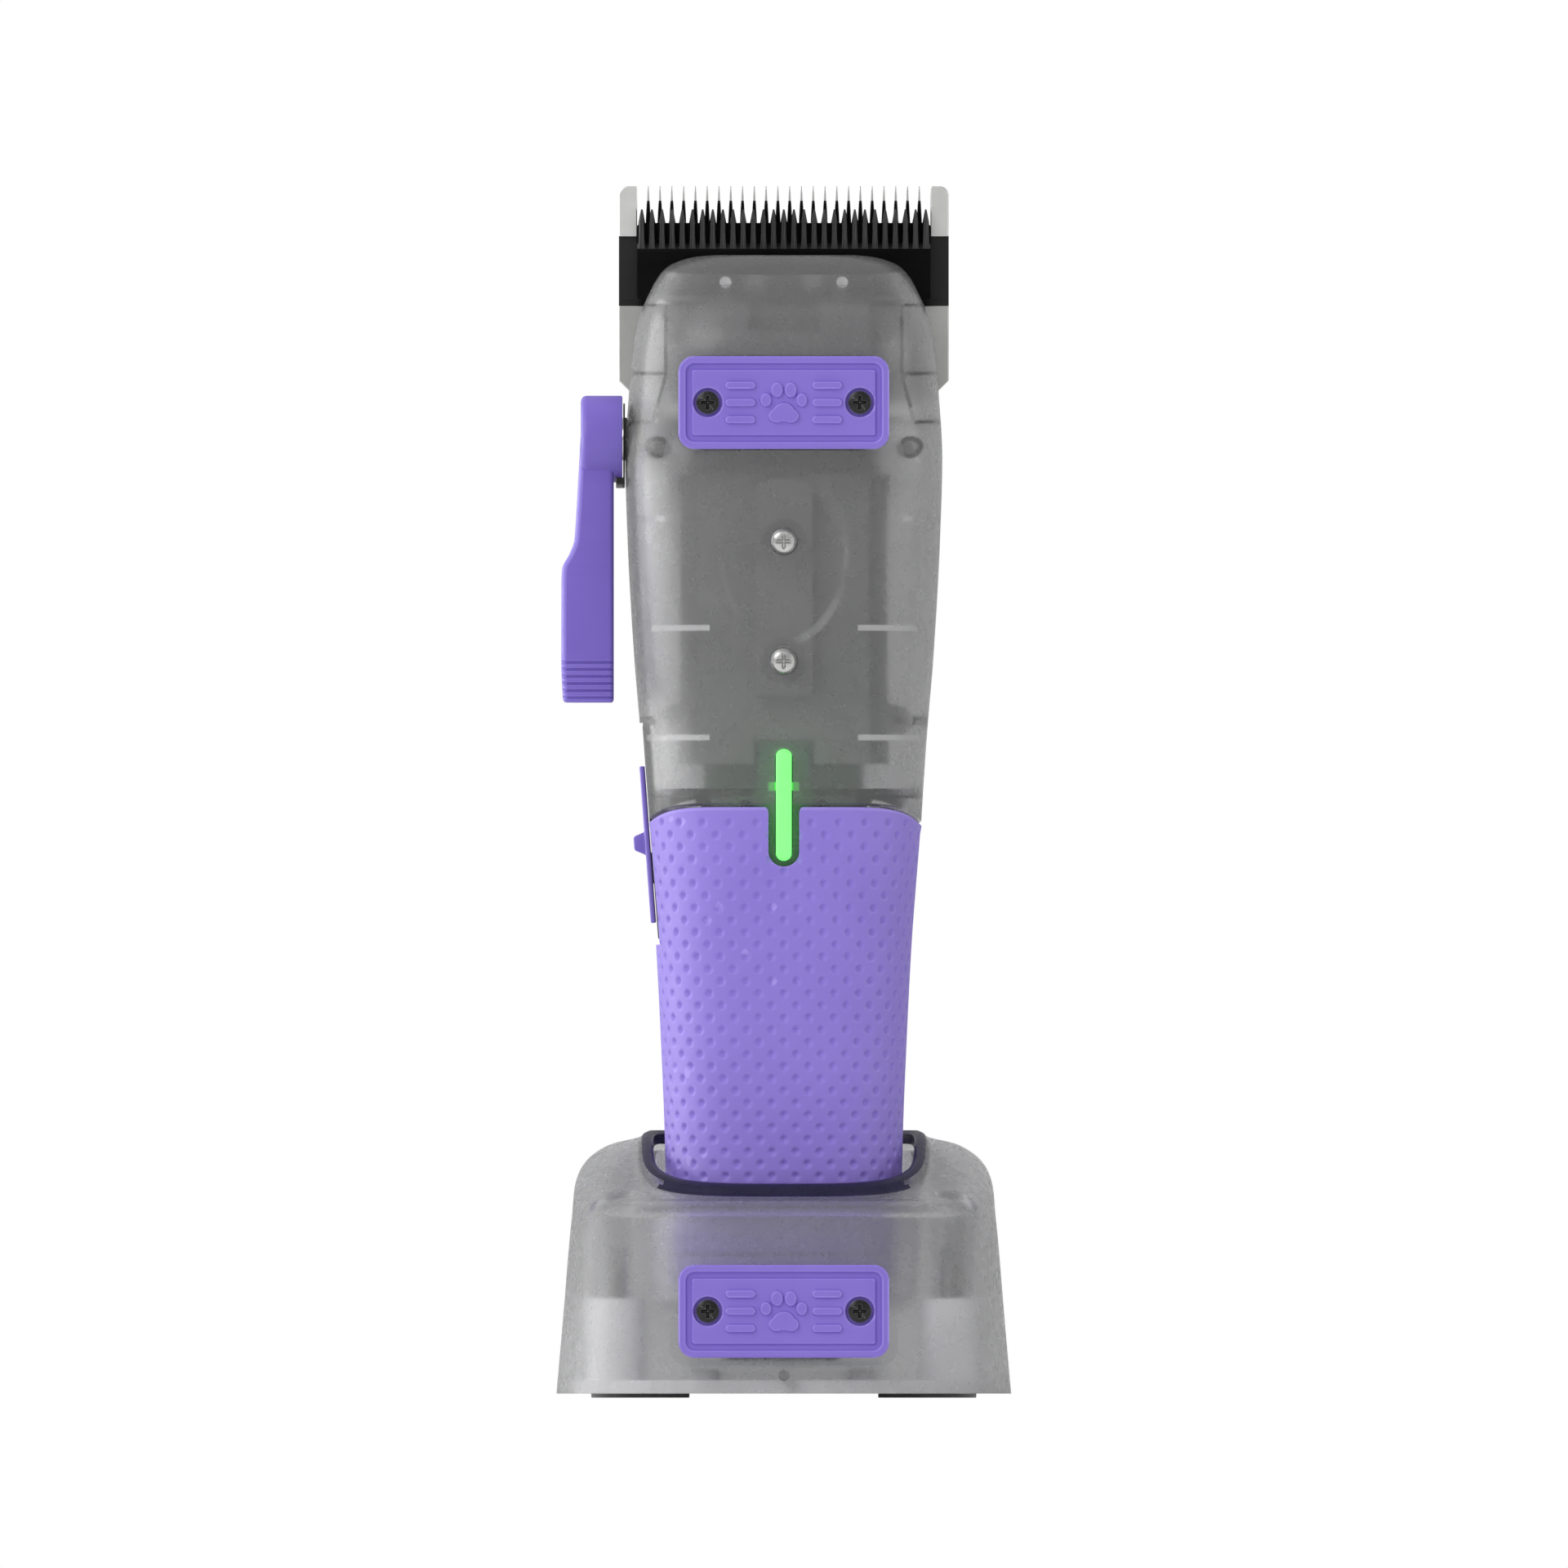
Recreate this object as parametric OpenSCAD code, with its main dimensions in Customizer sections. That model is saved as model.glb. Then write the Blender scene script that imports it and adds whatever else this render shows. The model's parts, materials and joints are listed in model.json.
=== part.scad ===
// Cordless pet clipper standing in its charging stand.
// The origin is on the table under the middle of the stand, +Z is up, the front
// faces -Y and the taper lever is on the -X side. All lengths are in millimetres.

/* [Blade] */
// Width of the fixed blade across its corner teeth
blade_width = 46; // [40:0.5:50]
// Height of the fixed blade's tooth tips above the table
tip_height = 168.9; // [150:0.1:190]
// Number of slim teeth on the fixed blade
fixed_teeth = 24; // [16:1:32]
// Distance between the fixed blade's teeth
fixed_pitch = 1.643; // [1.2:0.001:2.4]
// Number of teeth on the moving cutter
cutter_teeth = 29; // [18:1:36]
// Distance between the cutter's teeth
cutter_pitch = 1.414; // [1.1:0.001:2]
// Distance from the cutter's tips to the fixed blade's tips with the lever open
tip_gap = 3.2; // [2.6:0.1:4]
// How far the taper lever draws the fixed blade down
taper_travel = 2.3; // [1:0.1:2.5]

/* [Housing] */
// Wall of the see-through housing halves
shell_wall = 1.8; // [1.2:0.1:2.4]
// Wall of the grip sleeve
grip_wall = 1.8; // [1.2:0.1:2.4]
// How square the grip's outline is, 2 is an ellipse
grip_squareness = 2.8; // [2:0.1:5]
// How square the front of the head's outline is
head_squareness = 3.6; // [2:0.1:6]
// Height of the grip's top edge at the front
seam_height = 82.4; // [75:0.1:90]
// Number of flats in half of the housing's outline
housing_facets = 24; // [12:2:40]

/* [Badges] */
// Width of a badge plate
badge_width = 29.4; // [20:0.1:34]
// Height of a badge plate
badge_height = 12.95; // [8:0.05:16]
// Height of the upper badge's centre
head_badge_z = 138.75; // [130:0.05:145]
// Height of the lower badge's centre
stand_badge_z = 12.05; // [10:0.05:16]
// Distance from a badge's centre to each of its screws
badge_screw_x = 10.6; // [7:0.1:13]

/* [Taper lever] */
// Height of the lever's pivot
lever_z = 133.65; // [128:0.05:138]
// How far the pivot sits behind the middle of the housing
lever_y = -4; // [-8:0.5:0]
// Swing from open to closed
lever_swing = 48; // [20:1:60]
// Length of the lever below its pivot
lever_length = 36.75; // [25:0.05:45]

/* [Drive] */
// Radius of the motor can
motor_radius = 12; // [8:0.5:12]
// Length of the motor can
motor_length = 25.4; // [15:0.1:30]
// Offset of the drive pin from the motor shaft
eccentricity = 1; // [0.5:0.1:1.5]
// Radius of the drive pin's bearing ring
bearing_radius = 1.6; // [1:0.1:2]

/* [Battery and controls] */
// Diameter of the battery cell
cell_diameter = 18.2; // [14:0.1:18.6]
// Length of the battery cell
cell_length = 65; // [45:1:65]
// Travel of the power slider
slider_travel = 4.5; // [2:0.1:5]
// Length of the light bar on the front
light_length = 15.4; // [8:0.1:20]

/* [Stand] */
// Half width of the stand at the table
stand_half_width = 31.7; // [28:0.1:40]
// Half depth of the stand at the table
stand_half_depth = 34; // [28:0.1:40]
// Distance from the middle of the stand to each charging pin
pin_x = 4; // [3:0.1:6]
// Travel of the sprung charging pins
pin_travel = 1.5; // [0.5:0.1:1.5]

/* [Hidden] */
$fn = 48;

purple = [0.55, 0.47, 0.84];
smoke = [0.5, 0.5, 0.5, 0.45];
black = [0.1, 0.1, 0.1];
steel = [0.75, 0.75, 0.75];
board_green = [0.1, 0.32, 0.2];
brass = [0.78, 0.62, 0.3];

blade_y = 7;
blade_back = 10.4;
blade_bottom = 138.5;
cutter_front = 4.4;
cutter_back = 6.9;
cutter_tip = tip_height - tip_gap;
cutter_bottom = 153.2;
drive_y = -1;
motor_top = 126.4;
cell_y = 3.5;
crank_radius = taper_travel / 2 / sin(lever_swing / 2);
crank_y = lever_y + crank_radius * cos(lever_swing / 2);
crank_z = lever_z + taper_travel / 2;
slide_tilt = 4.2;
slider_z = 77.15;
slider_inset = 0.4;
light_z = 82.55;
light_tilt = 3.6;
head_badge_y = -21.2;
stand_badge_y = -33.8;

// Housing size at a height: half width, depth forwards, depth backwards.
half_widths = [
    [13.9, 15.4], [20, 16.2], [38, 16.65], [49, 17.1], [62.8, 17.8], [79.2, 19.05],
    [92.9, 20], [103.8, 20.9], [120, 21.8], [131, 22.1], [140, 21.6], [146, 21.07],
    [150, 20.35], [154, 18.75], [157.7, 16.2], [158.6, 14.2], [159.1, 12.1], [159.3, 9.8]
];
front_depths = [
    [13.9, 13.4], [20, 14.3], [38, 15.5], [60, 17], [82, 18.5], [104, 19.8],
    [131, 21], [146, 20.6], [150, 19.2], [154, 15.5], [157.7, 10], [158.6, 7.9],
    [159.1, 6.5], [159.3, 5.2]
];
back_depths = [
    [13.9, 13.4], [20, 14.3], [38, 15.5], [60, 16.5], [82, 17.5], [104, 18.2],
    [120, 18.4], [128, 17], [135.6, 13.4]
];
// The split between the housing halves runs back beside the blade.
split_line = [[131, 0], [137, 6.5], [152.3, 6.5], [153, 3.8]];

// Stand profile: half width, half depth, height at the front, height at the back.
stand_outer = [
    [stand_half_width, stand_half_depth, 0.57, 0.57], [30.7, 33, 12, 12],
    [29.9, 32.2, 20, 22], [29.5, 31.8, 24, 26], [29.2, 31.5, 25.7, 29.5],
    [28.6, 30.9, 26.7, 31.6], [27.3, 29.5, 27.3, 33.5], [24.3, 26, 27.55, 35.4],
    [21.2, 21.4, 27.65, 36.2], [20.3, 20.2, 27.9, 36.5], [19.8, 19.6, 28.9, 37],
    [19.2, 18.8, 29.3, 37.3], [18.6, 18, 29.2, 37.3], [18.2, 17.2, 28.6, 36.8]
];
stand_inner = [
    [30.1, 31.4, 0.57, 0.57], [29.1, 30.4, 12, 12], [28.2, 29.6, 19.5, 21.5],
    [27.7, 29.2, 22.8, 25], [27.3, 28.8, 23.9, 28], [26.7, 28.2, 24.9, 30],
    [25.6, 27, 25.5, 31.8], [23.4, 24.6, 26.1, 33.6], [21, 21, 26.4, 34.7],
    [20.1, 19.6, 26.6, 34.9], [19.2, 18.3, 26.8, 35.2], [18.9, 17.95, 26.9, 35.25],
    [18.6, 17.6, 27, 35.3], [18.2, 17.2, 27.1, 35.4]
];
stand_facets = 52;
pillars = [[-23.3, -14], [23.3, -14], [-23.3, 14], [23.3, 14]];

// Number between a and b
function mix(a, b, t) = a + (b - a) * t;
function smooth(t) = let (u = min(1, max(0, t))) u * u * (3 - 2 * u);

// Point on a rounded square of half width w and half depth d, at angle a
function squircle(w, d, a, n = grip_squareness) = [
    w * sign(cos(a)) * pow(abs(cos(a)), 2 / n),
    d * sign(sin(a)) * pow(abs(sin(a)), 2 / n)
];

// Height of the grip's top edge: level at the front, lower at the sides
function seam(a) = seam_height - 2.5 * pow(abs(cos(a)), 6);

// One row of a housing half. side is -1 for the front and 1 for the back, inset is
// taken off the outline, lift moves the row up and reach replaces the depth.
function half_row(side, z, inset, reach = undef, lift = 0, by_seam = false) =
    let (
        w = lookup(z, half_widths) - inset,
        full = lookup(z, side < 0 ? front_depths : back_depths) - inset,
        start = lookup(z, split_line) + 0.1 * side,
        depth = (is_undef(reach) ? full : reach) - side * start,
        n = side > 0 ? grip_squareness
            : lookup(z, [[95, grip_squareness], [128, head_squareness]])
    )
    [
        for (i = [0 : housing_facets])
            let (
                a = (side < 0 ? 180 : 0) + 180 * i / housing_facets,
                p = squircle(w, depth, a, n)
            )
            [p.x, start + p.y, by_seam ? seam(a) + lift : z + lift]
    ];

// One closed row of the grip
function ring_row(z, inset, lift = 0, by_seam = false) =
    let (
        w = lookup(z, half_widths) - inset,
        f = lookup(z, front_depths) - inset,
        b = lookup(z, back_depths) - inset
    )
    [
        for (i = [0 : 2 * housing_facets - 1])
            let (a = 180 * i / housing_facets, p = squircle(w, a > 180 ? f : b, a))
            [p.x, p.y, by_seam ? seam(a) + lift : z + lift]
    ];

// One closed row of the stand, whose top rises from front to back
function stand_row(r) = [
    for (i = [0 : stand_facets - 1])
        let (p = squircle(r[0], r[1], 360 * i / stand_facets, 3.2))
        [p.x, p.y, mix(r[2], r[3], smooth((p.y + 24) / 34))]
];

function joined(rows) = [for (row = rows) for (p = row) p];

// Solid wall between an outer and an inner grid of points
module wall(outer, inner, closed = false) {
    rows = len(outer);
    cols = len(outer[0]);
    top = rows - 1;
    last = closed ? cols - 1 : cols - 2;
    function o(r, c) = r * cols + c % cols;
    function n(r, c) = rows * cols + o(r, c);
    skins = [
        for (r = [0 : top - 1])
            for (c = [0 : last])
                each [
                    [o(r, c), o(r + 1, c), o(r + 1, c + 1)],
                    [o(r, c), o(r + 1, c + 1), o(r, c + 1)],
                    [n(r, c), n(r + 1, c + 1), n(r + 1, c)],
                    [n(r, c), n(r, c + 1), n(r + 1, c + 1)]
                ]
    ];
    rims = [
        for (c = [0 : last])
            each [
                [o(0, c), o(0, c + 1), n(0, c + 1)],
                [o(0, c), n(0, c + 1), n(0, c)],
                [o(top, c + 1), o(top, c), n(top, c)],
                [o(top, c + 1), n(top, c), n(top, c + 1)]
            ]
    ];
    ends = closed ? [] : [
        for (r = [0 : top - 1])
            each [
                [o(r + 1, 0), o(r, 0), n(r, 0)],
                [o(r + 1, 0), n(r, 0), n(r + 1, 0)],
                [o(r, cols - 1), o(r + 1, cols - 1), n(r + 1, cols - 1)],
                [o(r, cols - 1), n(r + 1, cols - 1), n(r, cols - 1)]
            ]
    ];
    polyhedron(concat(joined(outer), joined(inner)), concat(skins, rims, ends));
}

// Solid stack of closed rows with flat ends
module stack(rows) {
    cols = len(rows[0]);
    top = len(rows) - 1;
    sides = [
        for (r = [0 : top - 1])
            for (c = [0 : cols - 1])
                let (d = (c + 1) % cols)
                each [
                    [r * cols + c, (r + 1) * cols + c, (r + 1) * cols + d],
                    [r * cols + c, (r + 1) * cols + d, r * cols + d]
                ]
    ];
    bottom = [[for (c = [0 : cols - 1]) c]];
    lid = [[for (c = [cols - 1 : -1 : 0]) top * cols + c]];
    polyhedron(joined(rows), concat(sides, bottom, lid));
}

// Cylinder from front to back, starting at y
module along_y(r, length, x = 0, y = 0, z = 0) {
    translate([x, y, z])
        rotate([-90, 0, 0])
            cylinder(r = r, h = length);
}

// Cylinder from left to right, starting at x
module along_x(r, length, x = 0, y = 0, z = 0) {
    translate([x, y, z])
        rotate([0, 90, 0])
            cylinder(r = r, h = length);
}

// Block given by its two corners
module block(low, high) {
    translate(low)
        cube(high - low);
}

// Upright plate with round corners, front face at y
module rounded_plate(w, h, r, y, t) {
    block([-w / 2 + r, y, -h / 2], [w / 2 - r, y + t, h / 2]);
    block([-w / 2, y, -h / 2 + r], [w / 2, y + t, h / 2 - r]);
    for (x = [-1, 1])
        for (z = [-1, 1])
            along_y(r, t, x * (w / 2 - r), y, z * (h / 2 - r));
}

// Pan-head screw pointing along +Y with a cross recess, head front face at y
module cross_screw(head_r, head_h, shank_r, length) {
    difference() {
        union() {
            along_y(head_r, head_h);
            along_y(shank_r, length, 0, head_h - 0.01);
        }
        block([-0.62 * head_r, -0.1, -0.13 * head_r], [0.62 * head_r, 0.5 * head_h, 0.13 * head_r]);
        block([-0.13 * head_r, -0.1, -0.62 * head_r], [0.13 * head_r, 0.5 * head_h, 0.62 * head_r]);
    }
}

// Tilted frame of the power slider, on the housing's left side
module on_slide() {
    translate([slider_inset - lookup(slider_z, half_widths), 0, slider_z])
        rotate([0, -slide_tilt, 0])
            children();
}

// ---- Housing ----

module front_shell() {
    heights = [88, 96, 103.8, 112, 120, 126, 131, 134, 137, 140, 146, 150, 152.3, 153, 154];
    outer = concat(
        [
            half_row(-1, 71, 2), half_row(-1, 81, 2, lift = 0.2, by_seam = true),
            half_row(-1, 81, 0, lift = 0.23, by_seam = true)
        ],
        [for (z = heights) half_row(-1, z, 0)],
        [for (z = [156, 157.7, 158.6, 159.1, 159.3]) half_row(-1, z, 0)]
    );
    inner = concat(
        [
            half_row(-1, 71, 3.6), half_row(-1, 81, 3.6, lift = 0.2, by_seam = true),
            half_row(-1, 81, 3.6, lift = 1.4, by_seam = true)
        ],
        [
            for (z = heights)
                half_row(-1, z, shell_wall, lookup(z, front_depths) - (z > 126 && z < 149 ? 3 : 1.8))
        ],
        [
            half_row(-1, 156, 1.9), half_row(-1, 157.4, 2.2),
            half_row(-1, 157.7, 2.4, -3.3), half_row(-1, 158.6, 2.4, -3.3),
            half_row(-1, 159.3, 1.8, -3.3)
        ]
    );
    color(smoke)
        difference() {
            union() {
                wall(outer, inner);
                // Stiffening ribs round the corners
                for (z = [92.1, 107.4, 122.6])
                    difference() {
                        wall(
                            [half_row(-1, z, 1, lift = -0.4), half_row(-1, z, 1, lift = 0.4)],
                            [half_row(-1, z, 2.4, lift = -0.4), half_row(-1, z, 2.4, lift = 0.4)]
                        );
                        block([-10.2, -30, z - 1], [10.2, 5, z + 1]);
                    }
                // Seats of the centre screws
                for (z = [119.4, 102.7])
                    along_y(3.2, 2, 0, -18.7, z);
                // Screw bosses and locating pegs
                for (s = [-1, 1]) {
                    along_y(2.3, 9.2, s * 14.9, -9.6, 94.5);
                    block(
                        [s > 0 ? 15 : -18.8, -9.6, 93.9],
                        [s > 0 ? 18.8 : -15, -0.4, 95.1]
                    );
                    along_y(1.5, 4.2, s * 16.9, -15.2, 132.4);
                    along_y(1.15, 2.4, s * 10.9, -14.4, 82.7);
                    along_y(1.15, 3.6, s * 5.2, -16.2, 82.3);
                    // Short posts inside the nose
                    along_y(0.8, 2.5, s * 8.1, -12.3, 155.1);
                }
            }
            for (s = [-1, 1])
                along_y(1.02, 9.4, s * 14.9, -9, 94.5);
            // Lever shaft
            along_x(3.06, 8, -25, lever_y, lever_z);
            // Badge pocket
            translate([0, 0, head_badge_z])
                rounded_plate(badge_width + 0.4, badge_height + 0.4, 2.4, -24, 4.75);
            for (s = [-1, 1])
                along_y(0.95, 8, s * badge_screw_x, -22, head_badge_z);
            // Thumb dish
            translate([0, -23.4, 117])
                rotate([2.5, 0, 0])
                    scale([0.76, 0.2, 0.97])
                        sphere(r = 20, $fn = 64);
            // Centre screws
            for (z = [119.4, 102.7]) {
                along_y(1.95, 3.85, 0, -22, z);
                along_y(1.15, 6, 0, -20, z);
            }
            light_slot(1.25);
            slide_pocket();
        }
}

// Space for the light bar, made wider by the radius given
module light_slot(r) {
    translate([0, -18.7, light_z])
        rotate([light_tilt, 0, 0]) {
            block([-r, -3, -light_length / 2 + 1.1], [r, 6, light_length / 2 - 1.1]);
            for (s = [-1, 1])
                along_y(r, 9, 0, -3, s * (light_length / 2 - 1.1));
            // Room for the light bar's side lugs
            block([-r - 1.15, 1.8, 1.7], [r + 1.15, 8, 3.4]);
        }
}

// Flat and slot for the power slider
module slide_pocket() {
    on_slide() {
        block([-3, -6.9, -14], [0.55, 6.9, 17]);
        block([-1, -1.9, -6.2], [8, 1.9, 6.2]);
    }
}

module rear_shell() {
    heights = [88, 96, 103.8, 112, 120, 124, 128, 131];
    outer = concat(
        [
            half_row(1, 71, 2), half_row(1, 81, 2, lift = 0.2, by_seam = true),
            half_row(1, 81, 0, lift = 0.23, by_seam = true)
        ],
        [for (z = heights) half_row(1, z, 0)],
        [half_row(1, 133.2, 0), half_row(1, 134.8, 0.2), half_row(1, 135.6, 0.9)]
    );
    inner = concat(
        [
            half_row(1, 71, 3.6), half_row(1, 81, 3.6, lift = 0.2, by_seam = true),
            half_row(1, 81, 3.6, lift = 1.4, by_seam = true)
        ],
        [for (z = heights) half_row(1, z, shell_wall)],
        [half_row(1, 132.6, 1.9), half_row(1, 132.9, 2, 7.6), half_row(1, 135.6, 2, 7.6)]
    );
    color(smoke)
        difference() {
            union() {
                wall(outer, inner);
                for (s = [-1, 1])
                    along_y(2.3, 10.4, s * 14.9, 0.3, 94.5);
            }
            for (s = [-1, 1]) {
                along_y(1.15, 20, s * 14.9, 0, 94.5);
                along_y(2.1, 10, s * 14.9, 9.2, 94.5);
            }
            slide_pocket();
        }
}

module grip_sleeve() {
    heights = [20, 26, 32, 38, 49, 62.8, 72];
    outer = concat(
        [for (z = heights) ring_row(z, 0)],
        [ring_row(81, 0, lift = -0.9, by_seam = true), ring_row(81, 0.35, lift = -0.1, by_seam = true)]
    );
    inner = concat(
        [for (z = heights) ring_row(z, grip_wall)],
        [
            ring_row(81, grip_wall, lift = -0.9, by_seam = true),
            ring_row(81, grip_wall, lift = -0.1, by_seam = true)
        ]
    );
    color(purple)
        difference() {
            wall(outer, inner, closed = true);
            // Notch round the light bar
            along_y(2.15, 8, 0, -21, 76.2);
            block([-2.15, -21, 76.2], [2.15, -13, 90]);
            slide_pocket();
        }
}

module tail_cap() {
    rows = [
        ring_row(13.9, 2.4), ring_row(14.4, 1.3), ring_row(15.4, 0.5), ring_row(17, 0.1),
        ring_row(19.8, 0), ring_row(19.83, 2), ring_row(23, 2)
    ];
    color(purple)
        difference() {
            stack(rows);
            for (s = [-1, 1])
                block([s * pin_x - 2, -3, 13], [s * pin_x + 2, 3, 15.6]);
        }
}

module chassis() {
    color([0.2, 0.2, 0.21])
        difference() {
            union() {
                // Motor plate and the strap behind the centre screws
                block([-14.6, -9.8, 126.5], [14.6, 10, 128.9]);
                block([-11.8, -14, 126.5], [11.8, -9.7, 128.9]);
                block([-4, -16.4, 98], [4, -13.6, 128.9]);
                // Covers in front of the motor and of the cutter drive
                block([-11.8, -14, 88.4], [11.8, -13.3, 128.9]);
                block([-12, -10, 128.8], [12, -8.8, 151.9]);
                for (s = [-1, 1])
                    scale([s, 1, 1]) {
                        block([11, -13.5, 88.4], [11.8, -10.4, 128.9]);
                        block([11.7, -11.4, 88.4], [14.3, -10.4, 128.9]);
                    }
                // Bosses behind the badge
                for (s = [-1, 1])
                    along_y(2.3, 6.4, s * badge_screw_x, -15.9, head_badge_z);
                // Side rails that guide the blade seat, with ties to the housing
                for (s = [-1, 1])
                    scale([s, 1, 1]) {
                        block([12.1, 1.5, 128], [13.3, 6.3, 151.9]);
                        for (z = [135.9, 142.7, 150.9])
                            block([13, 1.5, z], [17.5, 5.2, z + 1]);
                    }
            }
            along_z_hole(4.1, drive_y, 120, 12);
            for (s = [-1, 1]) {
                translate([s * 7, drive_y, 120])
                    cylinder(r = 1.3, h = 12);
                along_y(0.86, 10, s * badge_screw_x, -19, head_badge_z);
            }
            for (z = [119.4, 102.7])
                along_y(1.02, 6, 0, -18, z);
            // Openings for the light bar and above the yoke
            block([-4.2, -16, 84], [4.2, -12, 92.2]);
            block([-5, -11, 148], [5, -8, 153]);
        }
}

// Upright hole on the drive's line
module along_z_hole(r, y, z, h) {
    translate([0, y, z])
        cylinder(r = r, h = h);
}

module light_pipe() {
    color([0.45, 1, 0.5])
        translate([0, -18.7, light_z])
            rotate([light_tilt, 0, 0]) {
                block([-1.1, -0.35, -light_length / 2 + 1.1], [1.1, 4.2, light_length / 2 - 1.1]);
                block([-2.1, 2, 2], [2.1, 3.2, 3.1]);
                for (s = [-1, 1])
                    along_y(1.1, 4.55, 0, -0.35, s * (light_length / 2 - 1.1));
            }
}

// Badge plate centred on its own face, the front of the border at y = 0
module badge() {
    difference() {
        rounded_plate(badge_width, badge_height, 2.2, 0, 1.9);
        difference() {
            rounded_plate(badge_width - 2, badge_height - 2, 1.2, -1, 1.6);
            rounded_plate(badge_width - 3.8, badge_height - 3.8, 0.4, -1.5, 4);
        }
        translate([0, -1.1, 0])
            rounded_plate(badge_width - 3.8, badge_height - 3.8, 0.4, 0, 1.3);
        for (s = [-1, 1]) {
            along_y(2, 1.2, s * badge_screw_x, 0, 0);
            along_y(0.95, 4, s * badge_screw_x, -1, 0);
        }
    }
    badge_relief();
}

// Paw print between two sets of bars
module badge_relief() {
    along_y(1.5, 0.6, 0, -0.25, -1.3);
    along_y(1.15, 0.6, -0.95, -0.25, -1.75);
    along_y(1.15, 0.6, 0.95, -0.25, -1.75);
    for (toe = [[-2.5, 0.3, 0.8], [-0.95, 1.75, 0.9], [0.95, 1.75, 0.9], [2.5, 0.3, 0.8]])
        along_y(toe[2], 0.6, toe[0], -0.25, toe[1]);
    for (s = [-1, 1])
        for (z = [-2.4, 0, 2.4]) {
            block([s > 0 ? 4.5 : -7.6, -0.25, z - 0.55], [s > 0 ? 7.6 : -4.5, 0.35, z + 0.55]);
            for (x = [4.5, 7.6])
                along_y(0.55, 0.6, s * x, -0.25, z);
        }
}

module badge_screws(y, z, length) {
    for (s = [-1, 1])
        translate([s * badge_screw_x, y, z])
            cross_screw(1.6, 0.8, 0.8, length);
}

module head_badge() {
    color(purple)
        translate([0, head_badge_y, head_badge_z])
            badge();
}

module head_badge_screws() {
    color(black)
        badge_screws(head_badge_y + 0.35, head_badge_z, 7.6);
}

module centre_screws() {
    color(steel)
        for (z = [119.4, 102.7])
            translate([0, -19.3, z])
                cross_screw(1.8, 1.1, 1, 4.6);
}

module housing_screws() {
    color(steel)
        for (s = [-1, 1])
            translate([s * 14.9, 10.9, 94.5])
                rotate([0, 0, 180])
                    cross_screw(1.9, 1.6, 1, 14);
}

// ---- Motor and cutter drive ----

module motor_can() {
    color(steel)
        difference() {
            translate([0, drive_y, 0]) {
                translate([0, 0, motor_top - motor_length])
                    cylinder(r = motor_radius, h = motor_length);
                translate([0, 0, motor_top])
                    cylinder(r = 4, h = 1.9);
            }
            along_z_hole(1.2, drive_y, 98, 40);
            for (s = [-1, 1])
                translate([s * 7, drive_y, motor_top - 4])
                    cylinder(r = 1.02, h = 10);
        }
}

module motor_end_cap() {
    color(black)
        difference() {
            union() {
                translate([0, drive_y, 97.8])
                    cylinder(r = 11.4, h = 3);
                for (s = [-1, 1])
                    block([s * 7 - 1.2, drive_y - 0.4, 94.6], [s * 7 + 1.2, drive_y + 0.4, 98.5]);
            }
            along_z_hole(1.2, drive_y, 96, 10);
        }
}

module motor_screws() {
    color(steel)
        for (s = [-1, 1])
            translate([s * 7, drive_y, 130.1])
                rotate([-90, 0, 0])
                    cross_screw(1.9, 1.2, 1, 5.8);
}

module motor_shaft() {
    color(steel)
        translate([0, drive_y, 99])
            cylinder(r = 1.15, h = 37);
}

module eccentric_cam() {
    color([0.85, 0.85, 0.82])
        difference() {
            union() {
                translate([0, drive_y, 130.4])
                    cylinder(r = 4.5, h = 6.2);
                translate([eccentricity, drive_y, 136.6])
                    cylinder(r = 1, h = 9.6);
            }
            along_z_hole(1.16, drive_y, 129, 7.1);
        }
}

module cam_bearing() {
    color(brass)
        translate([eccentricity, drive_y, 141.4])
            difference() {
                cylinder(r = bearing_radius, h = 4.4);
                translate([0, 0, -1])
                    cylinder(r = 1.02, h = 7);
            }
}

module cutter_yoke() {
    gap = bearing_radius + 2 * eccentricity + 0.4;
    color([0.14, 0.14, 0.15])
        difference() {
            union() {
                block([-6, 1.9, 148.5], [6, cutter_front - 0.05, 157]);
                block([-gap - 1.5, -6.2, 141], [gap + 1.5, 1.95, 151]);
            }
            block([-gap, -4.5, 140], [gap, 2, 148.4]);
            block([-gap, -4.5, 148], [gap, 0.4, 149.4]);
            for (s = [-1, 1])
                along_y(0.85, 6, s * 4, -1, 155.2);
        }
}

module yoke_screws() {
    color(steel)
        for (s = [-1, 1])
            translate([s * 4, 1.05, 155.2])
                cross_screw(1.5, 0.8, 0.8, 3.2);
}

// ---- Blades ----

// Saw-like outline: teeth of three widths from root to tip, above a straight base
function comb(count, pitch, half, base, root, knee, tip, widths) = concat(
    [[-half, base], [-half, root]],
    [
        for (i = [0 : count - 1])
            let (x = (i - (count - 1) / 2) * pitch)
            each [
                [x - widths[0] / 2, root], [x - widths[1] / 2, knee], [x - widths[2] / 2, tip],
                [x + widths[2] / 2, tip], [x + widths[1] / 2, knee], [x + widths[0] / 2, root]
            ]
    ],
    [[half, root], [half, base]]
);

// Upright plate cut to an outline drawn in X and Z
module upright(points, y, t) {
    translate([0, y + t, 0])
        rotate([90, 0, 0])
            linear_extrude(height = t)
                polygon(points);
}

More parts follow.
